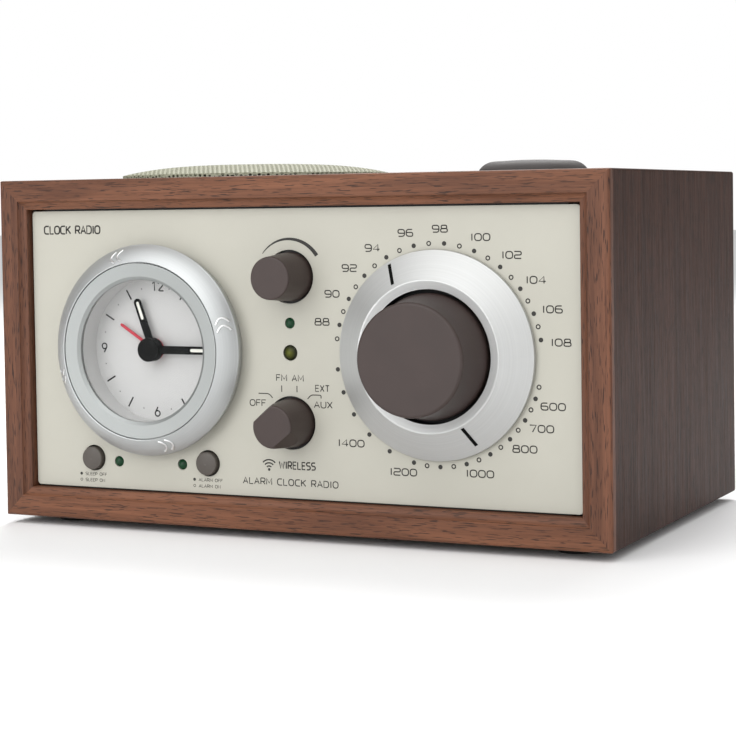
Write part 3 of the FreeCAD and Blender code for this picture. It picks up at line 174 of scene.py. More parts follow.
# %% Walnut material
def walnut(name, grain, colours, pore_share, seed, shine):
    """Oiled or lacquered walnut. grain is the axis that the fibres follow: 0, 1 or 2."""
    material, tree = start_material(name)

    def along(length, width):
        size = [width, width, width]
        size[grain] = length
        return size

    dark, mid, light, pore = colours
    growth = pattern(tree, along(140.0, 8.0), Detail=3.0, Distortion=0.9, Lacunarity=2.3 + seed)
    fibre = pattern(tree, along(34.0, 0.9), Detail=4.0, Roughness=0.65, Distortion=0.25)
    hair = pattern(tree, along(12.0, 0.24), Detail=2.0, Roughness=0.6)
    pores = pattern(tree, along(4.5, 0.3), Detail=1.0, Roughness=0.4, Distortion=0.1)
    bands = add(tree, "ShaderNodeValToRGB", {"Fac": growth},
                stops=((0.32, dark), (0.68, light), (0.5, mid)))
    colour = bands.outputs["Color"]
    layers = ((fibre, 0.3, 0.7, 0.62, dark), (hair, 0.35, 0.7, 0.3, light),
              (pores, pore_share, pore_share + 0.07, 0.85, pore))
    for noise, low, high, most, tint in layers:
        share = add(tree, "ShaderNodeMapRange", {
            "Value": noise, "From Min": low, "From Max": high, "To Max": most,
        }).outputs[0]
        colour = add(tree, "ShaderNodeMix", {0: share, 6: colour, 7: linear(tint)},
                     data_type="RGBA").outputs[2]
    rough = add(tree, "ShaderNodeMapRange", {
        "Value": fibre, "From Min": 0.3, "From Max": 0.7, "To Min": 0.42, "To Max": 0.58,
    })
    # The last share is that of the pores, which sink into the surface while the fibres stand up.
    surface = add(tree, "ShaderNodeMath", {0: hair, 1: share}, operation="SUBTRACT")
    bump = add(tree, "ShaderNodeBump", {
        "Height": surface.outputs[0], "Distance": 0.035 * MM, "Strength": 0.8,
    })
    end_material(tree, Base_Color=colour, Roughness=rough.outputs[0], Normal=bump.outputs[0],
                 Specular_IOR_Level=shine)
    return material


RAIL_COLOURS = ("#4a2a1a", "#6b4029", "#84553b", "#2c1a10")
STILE_COLOURS = ("#432618", "#5e3826", "#744a35", "#28170f")
# The veneer's colours are darker than the moulding's: painted shade for the right wall, which faces away
# from the main light. The top and the bottom share these darker colours.
VENEER_COLOURS_WITH_PAINTED_SHADE = ("#2b1811", "#361f16", "#462a1e", "#170e09")
rail_wood = walnut("oiled_walnut_moulding_sideways", 0, RAIL_COLOURS, 0.60, 0.0, 0.3)
stile_wood = walnut("oiled_walnut_moulding_upright", 2, STILE_COLOURS, 0.60, 0.1, 0.3)
side_wood = walnut("lacquered_walnut_veneer_upright", 2, VENEER_COLOURS_WITH_PAINTED_SHADE, 0.57, 0.2, 0.12)
top_wood = walnut("lacquered_walnut_veneer_sideways", 0, VENEER_COLOURS_WITH_PAINTED_SHADE, 0.57, 0.3, 0.12)
print("woods:", [wood.name for wood in (rail_wood, stile_wood, side_wood, top_wood)])


# %% [markdown]
# ## Moulded, sprayed and blasted finishes
# ABS knobs, a sprayed panel, rubber and bead-blasted aluminium differ in colour, gloss and metal,
# yet each has the same two marks of how it was made: a fine grit that breaks up the highlight, and a
# faint cloudiness of tone. So one function makes them all, and the grit's size and depth, in
# millimetres, tell a mould's spark texture from a coat of paint.

# %% Gritty finishes
def gritty(name, colour, second, roughness, grit, depth, cloud=9.0, **shader_values):
    """A surface with grit of a size and depth in mm, and tone that drifts between two colours."""
    material, tree = start_material(name)
    drift = pattern(tree, (cloud, cloud, cloud), Detail=3.0)
    speck = pattern(tree, (grit, grit, grit), Detail=1.0, Roughness=0.6)
    share = add(tree, "ShaderNodeMapRange", {"Value": drift, "From Min": 0.3, "From Max": 0.7})
    tone = add(tree, "ShaderNodeMix", {
        0: share.outputs[0], 6: linear(colour), 7: linear(second),
    }, data_type="RGBA")
    rough = add(tree, "ShaderNodeMapRange", {
        "Value": speck, "From Min": 0.2, "From Max": 0.8,
        "To Min": roughness - 0.05, "To Max": roughness + 0.05,
    })
    bump = add(tree, "ShaderNodeBump", {"Height": speck, "Distance": depth * MM})
    end_material(tree, Base_Color=tone.outputs[2], Roughness=rough.outputs[0],
                 Normal=bump.outputs[0], **shader_values)
    return material


# %% [markdown]
# What shows from outside comes first. Each line gives two close colours, a roughness, the size and
# depth of the grit in millimetres, and where it matters the size of the clouds of tone.

# %% Finishes of the outside
# ABS with a spark-eroded texture: a soft, wide highlight.
knob_plastic = gritty("moulded_abs_taupe", "#3a2e2b", "#362b28", 0.45, 0.22, 0.006,
                      Specular_IOR_Level=0.4)
# Sprayed semi-matt lacquer over a moulded panel: almost even, with the faintest orange peel.
panel_paint = gritty("sprayed_lacquer_cream", "#b0aea3", "#acaa9f", 0.46, 0.45, 0.003, 40.0)
# Black ABS of the chassis, clock case and rear panel: its deeper texture kills the shine.
black_plastic = gritty("moulded_abs_black", "#141414", "#191817", 0.5, 0.3, 0.012)
rear_plastic = gritty("textured_abs_black", "#1b1b1c", "#212021", 0.55, 0.5, 0.03)
# Soft black rubber: dull, with almost no highlight.
rubber = gritty("moulded_rubber_black", "#101010", "#161515", 0.75, 0.35, 0.015)
# Bead-blasted, clear-anodised aluminium: bright, with no direction to its highlight.
blasted_metal = gritty("bead_blasted_aluminium", "#a3a6a5", "#9fa2a1", 0.5, 0.16, 0.003, 30.0,
                       Metallic=1.0)
# Printed, stoved and screened coats: thin and even, so almost without grit.
white_print = gritty("matt_printed_white", "#c2c2c1", "#bebebd", 0.6, 0.3, 0.002, 30.0)
hand_enamel = gritty("stoved_enamel_black", "#030303", "#050505", 0.6, 0.2, 0.001,
                     Specular_IOR_Level=0.08)
red_enamel = gritty("stoved_enamel_crimson", "#b3122f", "#a90f2b", 0.35, 0.2, 0.001)
# Luminous paste dries chalky and a little lumpy.
lume = gritty("luminous_paste_white", "#e2e2da", "#deded5", 0.7, 0.12, 0.008)
# Screen ink is a dark warm grey, matt on the glossier lacquer.
ink = gritty("screen_printed_ink_grey", "#211f1c", "#252320", 0.6, 0.2, 0.001)
dial_ink = gritty("pad_printed_ink_black", "#0b0b0b", "#0e0e0e", 0.55, 0.2, 0.001)
# The raised arcs on the bezel get a brighter, glossier metal than the bezel: the brighter colour is a
# painted highlight for the light their ridges catch.
arc_metal_painted_highlight = gritty("diamond_cut_aluminium", "#f0f1f1", "#ebecec", 0.3, 0.3, 0.001, 20.0,
                       Metallic=1.0)
# Paint on punched steel, and softer ABS for the parts that a finger presses.
grille_paint = gritty("sprayed_steel_mesh_sage", "#9c9c88", "#979784", 0.65, 0.3, 0.004,
                      Specular_IOR_Level=0.3)
button_plastic = gritty("moulded_abs_taupe_button", "#4b453f", "#47413c", 0.45, 0.22, 0.006)
snooze_plastic = gritty("moulded_abs_taupe_satin", "#423e3c", "#3e3a39", 0.6, 0.24, 0.006,
                        Specular_IOR_Level=0.3)
# Cloth glued under the grille: loose fibres, with no highlight at all.
cloth = gritty("acoustic_cloth_black", "#1c1a18", "#24211e", 0.95, 0.35, 0.08, 1.2)
print(len(bpy.data.materials), "materials so far")


# %% [markdown]
# The parts inside show at most through a gap, but a part that is taken out should look like what it
# is. Plated and turned metals keep the renderer's own IOR and differ in colour and roughness.

# %% Finishes of the inside
# Acetal is waxy: half gloss, and never quite white.
acetal = gritty("moulded_acetal_white", "#e4e3dc", "#dedcd3", 0.4, 0.4, 0.002)
# Zinc plate is bluish, bright and slightly patchy.
zinc = gritty("zinc_plated_steel", "#b3b5b4", "#a6a9aa", 0.34, 0.5, 0.004, 3.0, Metallic=1.0)
# Turned brass is yellow, with a clean highlight.
brass = gritty("turned_brass", "#c9a25a", "#bd9550", 0.3, 0.5, 0.003, 4.0, Metallic=1.0)
# Solder mask is green lacquer over glass fibre.
board = gritty("solder_masked_board", "#0d4a2a", "#0f5230", 0.35, 0.8, 0.01, 3.0)
# Stoved paint on pressed steel is smooth and half gloss.
basket_paint = gritty("stoved_paint_black_steel", "#121213", "#171718", 0.45, 0.4, 0.006)
# Sintered ferrite is a dull dark grey ceramic with open grain.
ferrite = gritty("sintered_ferrite", "#26262a", "#2e2d30", 0.7, 0.4, 0.03, 2.0)
# Varnish over a stack of silicon steel leaves a brown, patchy shine.
laminations = gritty("varnished_silicon_steel", "#5a5048", "#4a4038", 0.45, 0.5, 0.03, 2.0, Metallic=0.6)
# Sawn pine is pale, rough and uneven.
pine = gritty("sawn_pine", "#c9a676", "#b8925f", 0.8, 0.6, 0.08, 6.0)
# Pressed paper shows its fibres and has no shine.
paper = gritty("pressed_paper_black", "#17171a", "#1d1d20", 0.9, 0.5, 0.06, 2.0)
# The roll round the cone is smoother than the feet.
roll_rubber = gritty("moulded_rubber_roll", "#0e0e0f", "#131314", 0.55, 0.4, 0.005)
print(len(bpy.data.materials), "materials with those of the inside")


# %% [markdown]
# ## Turned aluminium
# The clock's bezel and the ring of the tuning dial are turned on a lathe, then blasted and
# anodised. What is left of the turning is a set of very fine rings about the part's own axis. The
# distance from that axis, fed into a one-dimensional noise, draws them.

# %% Turned metal
def turned_metal(name, centre, colour, second, roughness, ring_mm, bore=0.0):
    """Aluminium with lathe rings about an axis through centre. Inside the radius bore, in mm, the colour
    is near black: painted shade of the gap round the knob.
    """
    material, tree = start_material(name)
    distance = from_axis(tree, centre.x, centre.z)
    rings = add(tree, "ShaderNodeTexNoise", {
        "W": distance, "Scale": 1 / (ring_mm * MM), "Detail": 2.0, "Roughness": 0.7,
    }, noise_dimensions="1D").outputs["Fac"]
    blast = pattern(tree, (0.14, 0.14, 0.14), Detail=1.0)
    tone = add(tree, "ShaderNodeMix", {0: rings, 6: linear(colour), 7: linear(second)},
               data_type="RGBA")
    outside_bore_shade = add(tree, "ShaderNodeMapRange", {
        "Value": distance, "From Min": bore * MM, "From Max": (bore + 0.1) * MM,
    })
    # Inside the bore the colour turns near black: painted shade for the dark gap between the ring and
    # the knob that sits in it.
    painted_bore_shade = add(tree, "ShaderNodeMix", {
        0: outside_bore_shade.outputs[0], 6: linear("#0c0c0c"), 7: tone.outputs[2],
    }, data_type="RGBA")
    # The slope beside the bore is blasted matt, so it looks pale from every side.
    metal = add(tree, "ShaderNodeMapRange", {
        "Value": distance, "From Min": (bore + 2.2) * MM, "From Max": (bore + 2.8) * MM, "To Min": 0.4,
    })
    rough = add(tree, "ShaderNodeMapRange", {
        "Value": rings, "From Min": 0.3, "From Max": 0.7,
        "To Min": roughness - 0.03, "To Max": roughness + 0.03,
    })
    height = add(tree, "ShaderNodeMath", {0: rings, 1: blast}, operation="ADD")
    bump = add(tree, "ShaderNodeBump", {"Height": height.outputs[0], "Distance": 0.0022 * MM})
    end_material(tree, Base_Color=painted_bore_shade.outputs[2], Metallic=metal.outputs[0],
                 Roughness=rough.outputs[0], Normal=bump.outputs[0])
    return material


bezel_metal = turned_metal("turned_anodised_bezel", CLOCK, "#c4c6c6", "#bec1c1", 0.52, 0.5)
dial_metal = turned_metal("turned_anodised_dial_ring", DIAL, "#cbcccb", "#c5c6c5", 0.56, 0.5, 20.25)
print("turned:", bezel_metal.name, "and", dial_metal.name)


# %% [markdown]
# ## Clear and translucent plastics
# The clock's lens is a thin acrylic disc that is seen straight through. A low alpha keeps it clear
# and lets light reach the dial below. The lamps are cast epoxy, dark while they are off. The amber
# lamp is paler in the middle, where the chip sits in its cup: partly the chip, partly painted light.

# %% Lens and lamps
lens_plastic, lens_tree = start_material("polished_acrylic_lens")
scratch = pattern(lens_tree, (0.8, 0.8, 12.0), Detail=2.0)
tint = add(lens_tree, "ShaderNodeValToRGB", {"Fac": scratch}, stops=((0.0, "#8c9090"), (1.0, "#969a9a")))
end_material(lens_tree, Base_Color=tint.outputs["Color"], Roughness=0.03, IOR=1.49, Alpha=0.015)


def cast_lamp(name, x, z, radius, core_and_painted_light, edge):
    """Coloured epoxy: a paler core inside a dark body, partly the chip and partly painted light on the
    dome.
    """
    material, tree = start_material(name)
    share = add(tree, "ShaderNodeMapRange", {
        "Value": from_axis(tree, x, z), "From Max": radius * MM,
    })
    body = add(tree, "ShaderNodeValToRGB", {"Fac": share.outputs[0]}, stops=((0.0, core_and_painted_light), (0.8, edge)))
    end_material(tree, Base_Color=body.outputs["Color"], Roughness=0.35, Specular_IOR_Level=0.2)
    return material


amber = middle("tuning_led")
# The amber lamp's paler middle is partly the chip in its cup and partly painted light on its dome.
amber_epoxy = cast_lamp("cast_epoxy_amber", amber.x, amber.z, 2.4, "#565a10", "#191b02")
green_epoxy = gritty("cast_epoxy_green", "#033c1e", "#022c16", 0.35, 0.5, 0.004, 1.0,
                     Specular_IOR_Level=0.3)
print("clear or cast:", [part.name for part in (lens_plastic, amber_epoxy, green_epoxy)])


# %% [markdown]
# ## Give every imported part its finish
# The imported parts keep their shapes. Each one only gets the material that its real piece would have.

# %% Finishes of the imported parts
FINISHES = {
    rail_wood: ["frame_top", "frame_bottom"],
    stile_wood: ["frame_left", "frame_right"],
    side_wood: ["cabinet_left", "cabinet_right"],
    top_wood: ["cabinet_top", "cabinet_bottom"],
    pine: ["corner_blocks"],
    rubber: ["rubber_feet"],
    panel_paint: ["front_panel"],
    black_plastic: ["front_chassis", "clock_case", "clock_movement", "reduction_housing",
                    "snooze_housing"],
    rear_plastic: ["rear_panel", "rear_sockets", "bass_port"],
    zinc: ["panel_screws", "rotary_controls", "snooze_spring"],
    white_print: ["clock_dial", "antenna_switch"],
    lens_plastic: ["clock_lens"],
    blasted_metal: ["lens_ring", "capacitor_stator", "capacitor_rotor"],
    bezel_metal: ["clock_bezel"],
    dial_metal: ["dial_ring"],
    hand_enamel: ["hour_hand", "minute_hand"],
    red_enamel: ["alarm_hand"],
    acetal: ["alarm_wheel", "setting_pinion", "idler_gear", "planet_carrier", "planet_gear_1",
             "planet_gear_2", "planet_gear_3"],
    knob_plastic: ["volume_knob", "mode_knob", "tuning_knob"],
    button_plastic: ["sleep_button", "alarm_button"],
    snooze_plastic: ["snooze_button"],
    brass: ["volume_shaft", "mode_shaft", "tuning_shaft"],
    green_epoxy: ["green_leds"],
    amber_epoxy: ["tuning_led"],
    board: ["control_boards", "main_board"],
    grille_paint: ["speaker_grille"],
    basket_paint: ["speaker_basket"],
    ferrite: ["speaker_magnet", "ferrite_antenna"],
    paper: ["speaker_cone"],
    roll_rubber: ["speaker_surround"],
    laminations: ["transformer"],
}
finished = set()
for material, names in FINISHES.items():
    for name in names:
        nodes[name].material_slots[0].material = material
        finished.add(name)
print("parts without a finish:", sorted(set(nodes) - finished))


# %% [markdown]
# ## Ink
# All printing on the front is line work: strokes of one width that follow a path. So the letters and
# numbers are drawn as paths too, in the wide, square-shouldered style of instrument scales, and a
# small geometry node tree gives every path its width and the thickness of a coat of ink.

# %% Rounding the corners of a path
def rounded(points, radius, steps=5):
    """A path with its corners rounded. A path that ends where it starts is closed."""
    closed = points[0] == points[-1]
    ring = [Vector(p) for p in (points[:-1] if closed else points)]
    count = len(ring)
    result = []
    for k, corner in enumerate(ring):
        if not closed and k in (0, count - 1):
            result.append(corner)
            continue
        before, after = ring[k - 1] - corner, ring[(k + 1) % count] - corner
        reach = min(radius, before.length / 2, after.length / 2)
        start, end = corner + before.normalized() * reach, corner + after.normalized() * reach
        for step in range(steps + 1):
            share = step / steps
            result.append(start * (1 - share) ** 2 + corner * 2 * share * (1 - share) + end * share ** 2)
    if closed:
        result.append(result[0].copy())
    return result


print("one rounded corner has", len(rounded([(0, 0), (1, 0), (1, 1)], 0.3)) - 2, "points")


# %% [markdown]
# Each letter is drawn on a square of one by one. A letter has its width, how round its corners are,
# and its strokes.

# %% The stroke alphabet
BOX = [(0, 0), (1, 0), (1, 1), (0, 1), (0, 0)]
LETTERS = {
    "0": (1.0, 0.45, [BOX]),
    "1": (0.3, 0.0, [[(0.15, 0), (0.15, 1)]]),
    "2": (1.0, 0.3, [[(0, 1), (1, 1), (1, 0.5), (0, 0.5), (0, 0), (1, 0)]]),
    "3": (1.0, 0.3, [[(0, 1), (1, 1), (1, 0), (0, 0)], [(0.3, 0.5), (1, 0.5)]]),
    "4": (1.0, 0.0, [[(0.75, 0), (0.75, 1), (0, 0.3), (1, 0.3)]]),
    "5": (1.0, 0.3, [[(1, 1), (0.08, 1), (0, 0.58), (1, 0.58), (1, 0), (0, 0)]]),
    "6": (1.0, 0.42, [[(0.92, 1), (0, 1), (0, 0), (1, 0), (1, 0.56), (0, 0.56)]]),
    "7": (0.95, 0.0, [[(0, 1), (0.95, 1), (0.4, 0)]]),
    "8": (1.0, 0.36, [[(0, 0), (1, 0), (1, 0.52), (0, 0.52), (0, 0)],
                      [(0.08, 0.52), (0.92, 0.52), (0.92, 1), (0.08, 1), (0.08, 0.52)]]),
    "9": (1.0, 0.42, [[(0.08, 0), (1, 0), (1, 1), (0, 1), (0, 0.44), (1, 0.44)]]),
    "A": (1.0, 0.0, [[(0, 0), (0.5, 1), (1, 0)], [(0.18, 0.34), (0.82, 0.34)]]),
    "C": (0.95, 0.4, [[(0.95, 1), (0, 1), (0, 0), (0.95, 0)]]),
    "D": (1.0, 0.0, [[(0, 0), (0, 1), (0.6, 1), (0.9, 0.85), (1, 0.5), (0.9, 0.15), (0.6, 0), (0, 0)]]),
    "E": (0.8, 0.0, [[(0.8, 1), (0, 1), (0, 0), (0.8, 0)], [(0, 0.52), (0.72, 0.52)]]),
    "F": (0.8, 0.0, [[(0.8, 1), (0, 1), (0, 0)], [(0, 0.52), (0.7, 0.52)]]),
    "I": (0.2, 0.0, [[(0.1, 0), (0.1, 1)]]),
    "K": (0.9, 0.0, [[(0, 0), (0, 1)], [(0.9, 1), (0.05, 0.45)], [(0.28, 0.6), (0.9, 0)]]),
    "L": (0.75, 0.0, [[(0, 1), (0, 0), (0.75, 0)]]),
    "M": (1.1, 0.0, [[(0, 0), (0, 1), (0.55, 0.25), (1.1, 1), (1.1, 0)]]),
    "N": (0.95, 0.0, [[(0, 0), (0, 1), (0.95, 0), (0.95, 1)]]),
    "O": (1.05, 0.5, [[(0, 0), (1.05, 0), (1.05, 1), (0, 1), (0, 0)]]),
    "P": (0.9, 0.25, [[(0, 0), (0, 1)], [(0, 1), (0.9, 1), (0.9, 0.45), (0, 0.45)]]),
    "R": (0.9, 0.25, [[(0, 0), (0, 1)], [(0, 1), (0.9, 1), (0.9, 0.45), (0, 0.45)],
                      [(0.5, 0.45), (0.9, 0)]]),
    "S": (0.9, 0.3, [[(0.9, 1), (0, 1), (0, 0.52), (0.9, 0.52), (0.9, 0), (0, 0)]]),
    "T": (0.9, 0.0, [[(0, 1), (0.9, 1)], [(0.45, 1), (0.45, 0)]]),
    "U": (0.95, 0.4, [[(0, 1), (0, 0), (0.95, 0), (0.95, 1)]]),
    "W": (1.3, 0.0, [[(0, 1), (0.33, 0), (0.65, 0.8), (0.97, 0), (1.3, 1)]]),
    "X": (0.9, 0.0, [[(0, 0), (0.9, 1)], [(0, 1), (0.9, 0)]]),
    " ": (0.55, 0.0, []),
}
print(len(LETTERS), "signs in the alphabet")


# %% [markdown]
# The letters of a word are set one by one: each takes its own width and one gap. Dots, rings and labels
# need points on a circle too.

# %% Setting words and rings
def lettering(words, x, z, height, wide=1.0, gap=0.28, align="middle"):
    """Paths, in mm, of words whose middle or start is at x, with their middle line at z."""
    widths = [LETTERS[letter][0] * wide for letter in words]
    length = (sum(widths) + gap * (len(words) - 1)) * height
    pen = x - (length / 2 if align == "middle" else 0.0)
    paths = []
    for letter, width in zip(words, widths):
        _, corner, strokes = LETTERS[letter]
        for stroke in strokes:
            scaled = [(pen + px * wide * height, z + (pz - 0.5) * height) for px, pz in stroke]
            paths.append(rounded(scaled, corner * height) if corner else [Vector(p) for p in scaled])
        pen += (width + gap) * height
    return paths


def circle_path(x, z, radius, steps=20):
    """A closed ring round x and z."""
    turns = [2 * math.pi * k / steps for k in range(steps + 1)]
    return [Vector((x + radius * math.cos(t), z + radius * math.sin(t))) for t in turns]


def dial_point(centre, degrees, radius):
    """(x, z) at an angle clockwise from the top."""
    turn = math.radians(degrees)
    return centre.x + radius * math.sin(turn), centre.z + radius * math.cos(turn)


print("the word AUX takes", len(lettering("AUX", 0.0, 0.0, 1.0)), "strokes")


# %% [markdown]
# The tree takes bare edges, makes them curves, and sweeps a flat rectangle along them. The paths lie
# in the XY plane while it works, where Z-up normals keep the rectangle flat, and the finished mesh is
# stood up afterwards. A tree's inputs have names, and a modifier is told their values by identifier.

# %% Starting, closing and running a tree
def start_tree(name, **inputs):
    """An empty geometry tree with named inputs. A value is a socket type and its default."""
    tree = bpy.data.node_groups.new(name, "GeometryNodeTree")
    tree.interface.new_socket("Geometry", in_out="INPUT", socket_type="NodeSocketGeometry")
    tree.interface.new_socket("Geometry", in_out="OUTPUT", socket_type="NodeSocketGeometry")
    for label, (kind, value) in inputs.items():
        socket = tree.interface.new_socket(label.replace("_", " "), in_out="INPUT",
                                           socket_type="NodeSocket" + kind)
        if value is not None:
            socket.default_value = value
    return tree, add(tree, "NodeGroupInput").outputs


def end_tree(tree, geometry, material):
    """Closes a tree as the export needs it: real geometry, with its material set."""
    real = add(tree, "GeometryNodeRealizeInstances", {"Geometry": geometry})
    painted = add(tree, "GeometryNodeSetMaterial", {"Geometry": real.outputs[0], "Material": material})
    add(tree, "NodeGroupOutput", {"Geometry": painted.outputs[0]})
    return tree


def run_tree(piece, tree, **values):
    """Runs a tree on a piece with these inputs, and keeps the result as plain mesh."""
    modifier = piece.modifiers.new("made", "NODES")
    modifier.node_group = tree
    for item in tree.interface.items_tree:
        if item.in_out == "INPUT" and item.name.replace(" ", "_") in values:
            modifier[item.identifier] = values[item.name.replace(" ", "_")]
    graph = bpy.context.evaluated_depsgraph_get()
    mesh = bpy.data.meshes.new_from_object(piece.evaluated_get(graph))
    piece.modifiers.remove(modifier)
    piece.data = mesh
    return piece


# %% [markdown]
# A line's tree has three inputs: how wide the stroke is, how thick the ink is, and the ink itself.

# %% The ink tree
def line_tree():
    """Gives every edge path a flat section."""
    tree, given = start_tree("printed_line", Width=("Float", 0.0003), Thickness=("Float", 0.00005),
                             Ink=("Material", None))
    paths = add(tree, "GeometryNodeMeshToCurve", {"Mesh": given["Geometry"]})
    level = add(tree, "GeometryNodeSetCurveNormal", {"Curve": paths.outputs[0]}, mode="Z_UP")
    section = add(tree, "GeometryNodeCurvePrimitiveQuadrilateral", {
        "Width": given["Width"], "Height": given["Thickness"],
    })
    swept = add(tree, "GeometryNodeCurveToMesh", {
        "Curve": level.outputs[0], "Profile Curve": section.outputs[0], "Fill Caps": True,
    })
    return end_tree(tree, swept.outputs[0], given["Ink"])


LINE_TREE = line_tree()
print("the ink tree has", len(LINE_TREE.nodes), "nodes")


# %% [markdown]
# A printed piece lies on one plane. Half of its thickness stands in front of the plane, like a coat of
# ink, and half is sunk, so no gap can show behind it.

# %% Printed pieces
INK_THICKNESS = 0.06


def new_piece(name, mesh):
    """An object with this mesh, at the origin."""
    piece = bpy.data.objects.new(name, mesh)
    bpy.context.scene.collection.objects.link(piece)
    return piece


def path_mesh(name, paths):
    """Bare edges along 2-D paths, in metres, in the XY plane. Closed paths share one vertex."""
    vertices, edges = [], []
    for path in paths:
        closed = (path[0] - path[-1]).length < 1e-6
        corners = path[:-1] if closed else path
        first = len(vertices)
        vertices += [(p[0] * MM, p[1] * MM, 0.0) for p in corners]
        edges += [(first + k, first + k + 1) for k in range(len(corners) - 1)]
        if closed:
            edges.append((first + len(corners) - 1, first))
    mesh = bpy.data.meshes.new(name)
    mesh.from_pydata(vertices, edges, [])
    return mesh


STAND_UP = Matrix.Rotation(math.pi / 2, 4, "X")


def drawn(name, paths, width, material, y, body, thickness=INK_THICKNESS):
    """A printed piece: paths in x and z, lying on the plane y, all in mm."""
    piece = run_tree(new_piece(name, path_mesh(name, paths)), LINE_TREE,
                     Width=width * MM, Thickness=thickness * MM, Ink=material)
    piece.data.transform(Matrix.Translation((0, y * MM, 0)) @ STAND_UP)
    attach(piece, body)
    return piece


def on_panel(name, paths, width):
    """Lines printed on the front panel."""
    return drawn(name, paths, width, ink, PANEL_Y, "cabinet")


# %% [markdown]
# ## The scale of the tuning dial
# Filled dots mark the even megahertz and the hundreds of kilohertz, small open rings the steps
# between. A real scale isn't evenly spaced, because the capacitor's plates don't tune evenly: a
# small sine on top of an even spacing gives that drift.

# %% Scale angles
SCALE_RADIUS = 33.85


def fm_angle(megahertz):
    """Where a frequency stands on the upper scale, in degrees from the top."""
    step = megahertz - 98
    return 4.77 + 7.81 * step - 0.0167 * step ** 2 + 2.35 * math.sin(math.pi * step / 10)


def am_angle(kilohertz):
    """Where a frequency stands on the lower scale, in degrees from the top."""
    share = (kilohertz - 600) / 1100
    return 111.2 + 150.3 * share - 2.3 * math.sin(2 * math.pi * share)


FM_DOTS = [fm_angle(f) for f in range(88, 109, 2)]
FM_RINGS = [fm_angle(f) for f in range(87, 108, 2)]
AM_DOTS = [am_angle(f) for f in range(600, 1701, 100)]
AM_RINGS = [am_angle(f) for f in range(550, 1151, 100)]
LABEL_ANGLES = {
    "88": -76, "90": -62.4, "92": -47.8, "94": -33, "96": -15, "98": 2.2, "100": 22.3, "102": 39,
    "104": 54.5, "106": 69, "108": 83.5, "600": 111.3, "700": 122.3, "800": 134.3, "1000": 159,
    "1200": 198, "1400": 226.5,
}
print(len(FM_DOTS + AM_DOTS), "dots and", len(FM_RINGS + AM_RINGS), "rings on the scale")


# %% [markdown]
# A dot on every vertex is what Geometry Nodes do best: one short cylinder, repeated on points.

# %% The dot tree
def dot_tree():
    """Sets a flat round dot on every vertex."""
    tree, given = start_tree("printed_dot", Radius=("Float", 0.0005), Thickness=("Float", 0.00005),
                             Ink=("Material", None))
    dot = add(tree, "GeometryNodeMeshCylinder", {
        "Vertices": 20, "Radius": given["Radius"], "Depth": given["Thickness"],
    })
    placed = add(tree, "GeometryNodeInstanceOnPoints", {
        "Points": given["Geometry"], "Instance": dot.outputs["Mesh"],
    })
    return end_tree(tree, placed.outputs[0], given["Ink"])


DOT_TREE = dot_tree()
print("the dot tree has", len(DOT_TREE.nodes), "nodes")


def dotted(name, places, radius, material, y, body, thickness=INK_THICKNESS):
    """Printed dots at (x, z) places, in mm, on the plane y."""
    mesh = bpy.data.meshes.new(name)
    mesh.from_pydata([(x * MM, z * MM, 0.0) for x, z in places], [], [])
    piece = run_tree(new_piece(name, mesh), DOT_TREE, Radius=radius * MM,
                     Thickness=thickness * MM, Ink=material)
    piece.data.transform(Matrix.Translation((0, y * MM, 0)) @ STAND_UP)
    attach(piece, body)


# %% [markdown]
# The labels stand outside the dots. Those beside the dial are wider than high, so they stand a
# little further out than those above and below it.

# %% Numbers and dots of the scale
def label_place(words, degrees):
    """The middle of a label, in mm."""
    sideways = abs(math.sin(math.radians(degrees)))
    radius = (39.4 if words == "1400" else 38.2) + 1.8 * sideways ** 2
    return dial_point(DIAL, degrees, radius if abs(degrees - 180) > 30 else radius - 0.6)


scale_marks = [circle_path(*dial_point(DIAL, a, SCALE_RADIUS), 0.6) for a in FM_RINGS + AM_RINGS]
for words, degrees in LABEL_ANGLES.items():
    scale_marks += lettering(words, *label_place(words, degrees), 2.05, 1.05)
numbers = on_panel("scale_numbers", scale_marks, 0.36)
dotted("scale_dots", [dial_point(DIAL, a, SCALE_RADIUS) for a in FM_DOTS + AM_DOTS], 0.72, ink,
       PANEL_Y, "cabinet")
print("scale numbers:", len(numbers.data.polygons), "faces")


# %% [markdown]
# ## Words and signs on the panel
# The mode switch is labelled with leads that show where each setting lies. The volume knob has a
# crescent that swells to the loud end. All wording is generic.

# %% Words round the mode switch
FLOOR_Z = MODE.z - 34.0
MODE_X = MODE.x - 0.35
SMALL = 1.9

labels = []
for words, x, z, wide in (("FM", -2.9, 48.1, 0.85), ("AM", 2.8, 48.1, 0.85), ("OFF", -11.5, 40.0, 0.9),
                          ("AUX", 11.6, 40.0, 0.95), ("EXT", 11.4, 45.1, 0.75)):
    labels += lettering(words, MODE_X + x, FLOOR_Z + z, SMALL, wide)
for x in (-2.9, 2.5):
    labels.append([Vector((MODE_X + x, FLOOR_Z + 43.7)), Vector((MODE_X + x, FLOOR_Z + 45.7))])
for lead, corner in ((((-11.2, 43.0), (-7.4, 43.0), (-6.2, 41.7)), 1.2),
                     (((6.2, 41.7), (7.4, 43.0), (10.9, 43.0), (10.9, 42.0)), 0.8)):
    labels.append(rounded([(MODE_X + x, FLOOR_Z + z) for x, z in lead], corner))
on_panel("mode_labels", labels, 0.3)
print("mode switch:", len(labels), "strokes")


# %% [markdown]
# Three lines of wording say what the radio is, and a plain sign of three waves stands beside one.

# %% Wording and the wave sign
lower = lettering("ALARM CLOCK RADIO", MODE.x - 0.8, FLOOR_Z + 15.2, 1.95, 0.85, 0.3)
on_panel("lower_lettering", lower, 0.32)
upper = lettering("CLOCK RADIO", MODE.x - 91.4, FLOOR_Z + 95.0, 2.5, 0.72, 0.2, "start")
on_panel("upper_lettering", upper, 0.5)

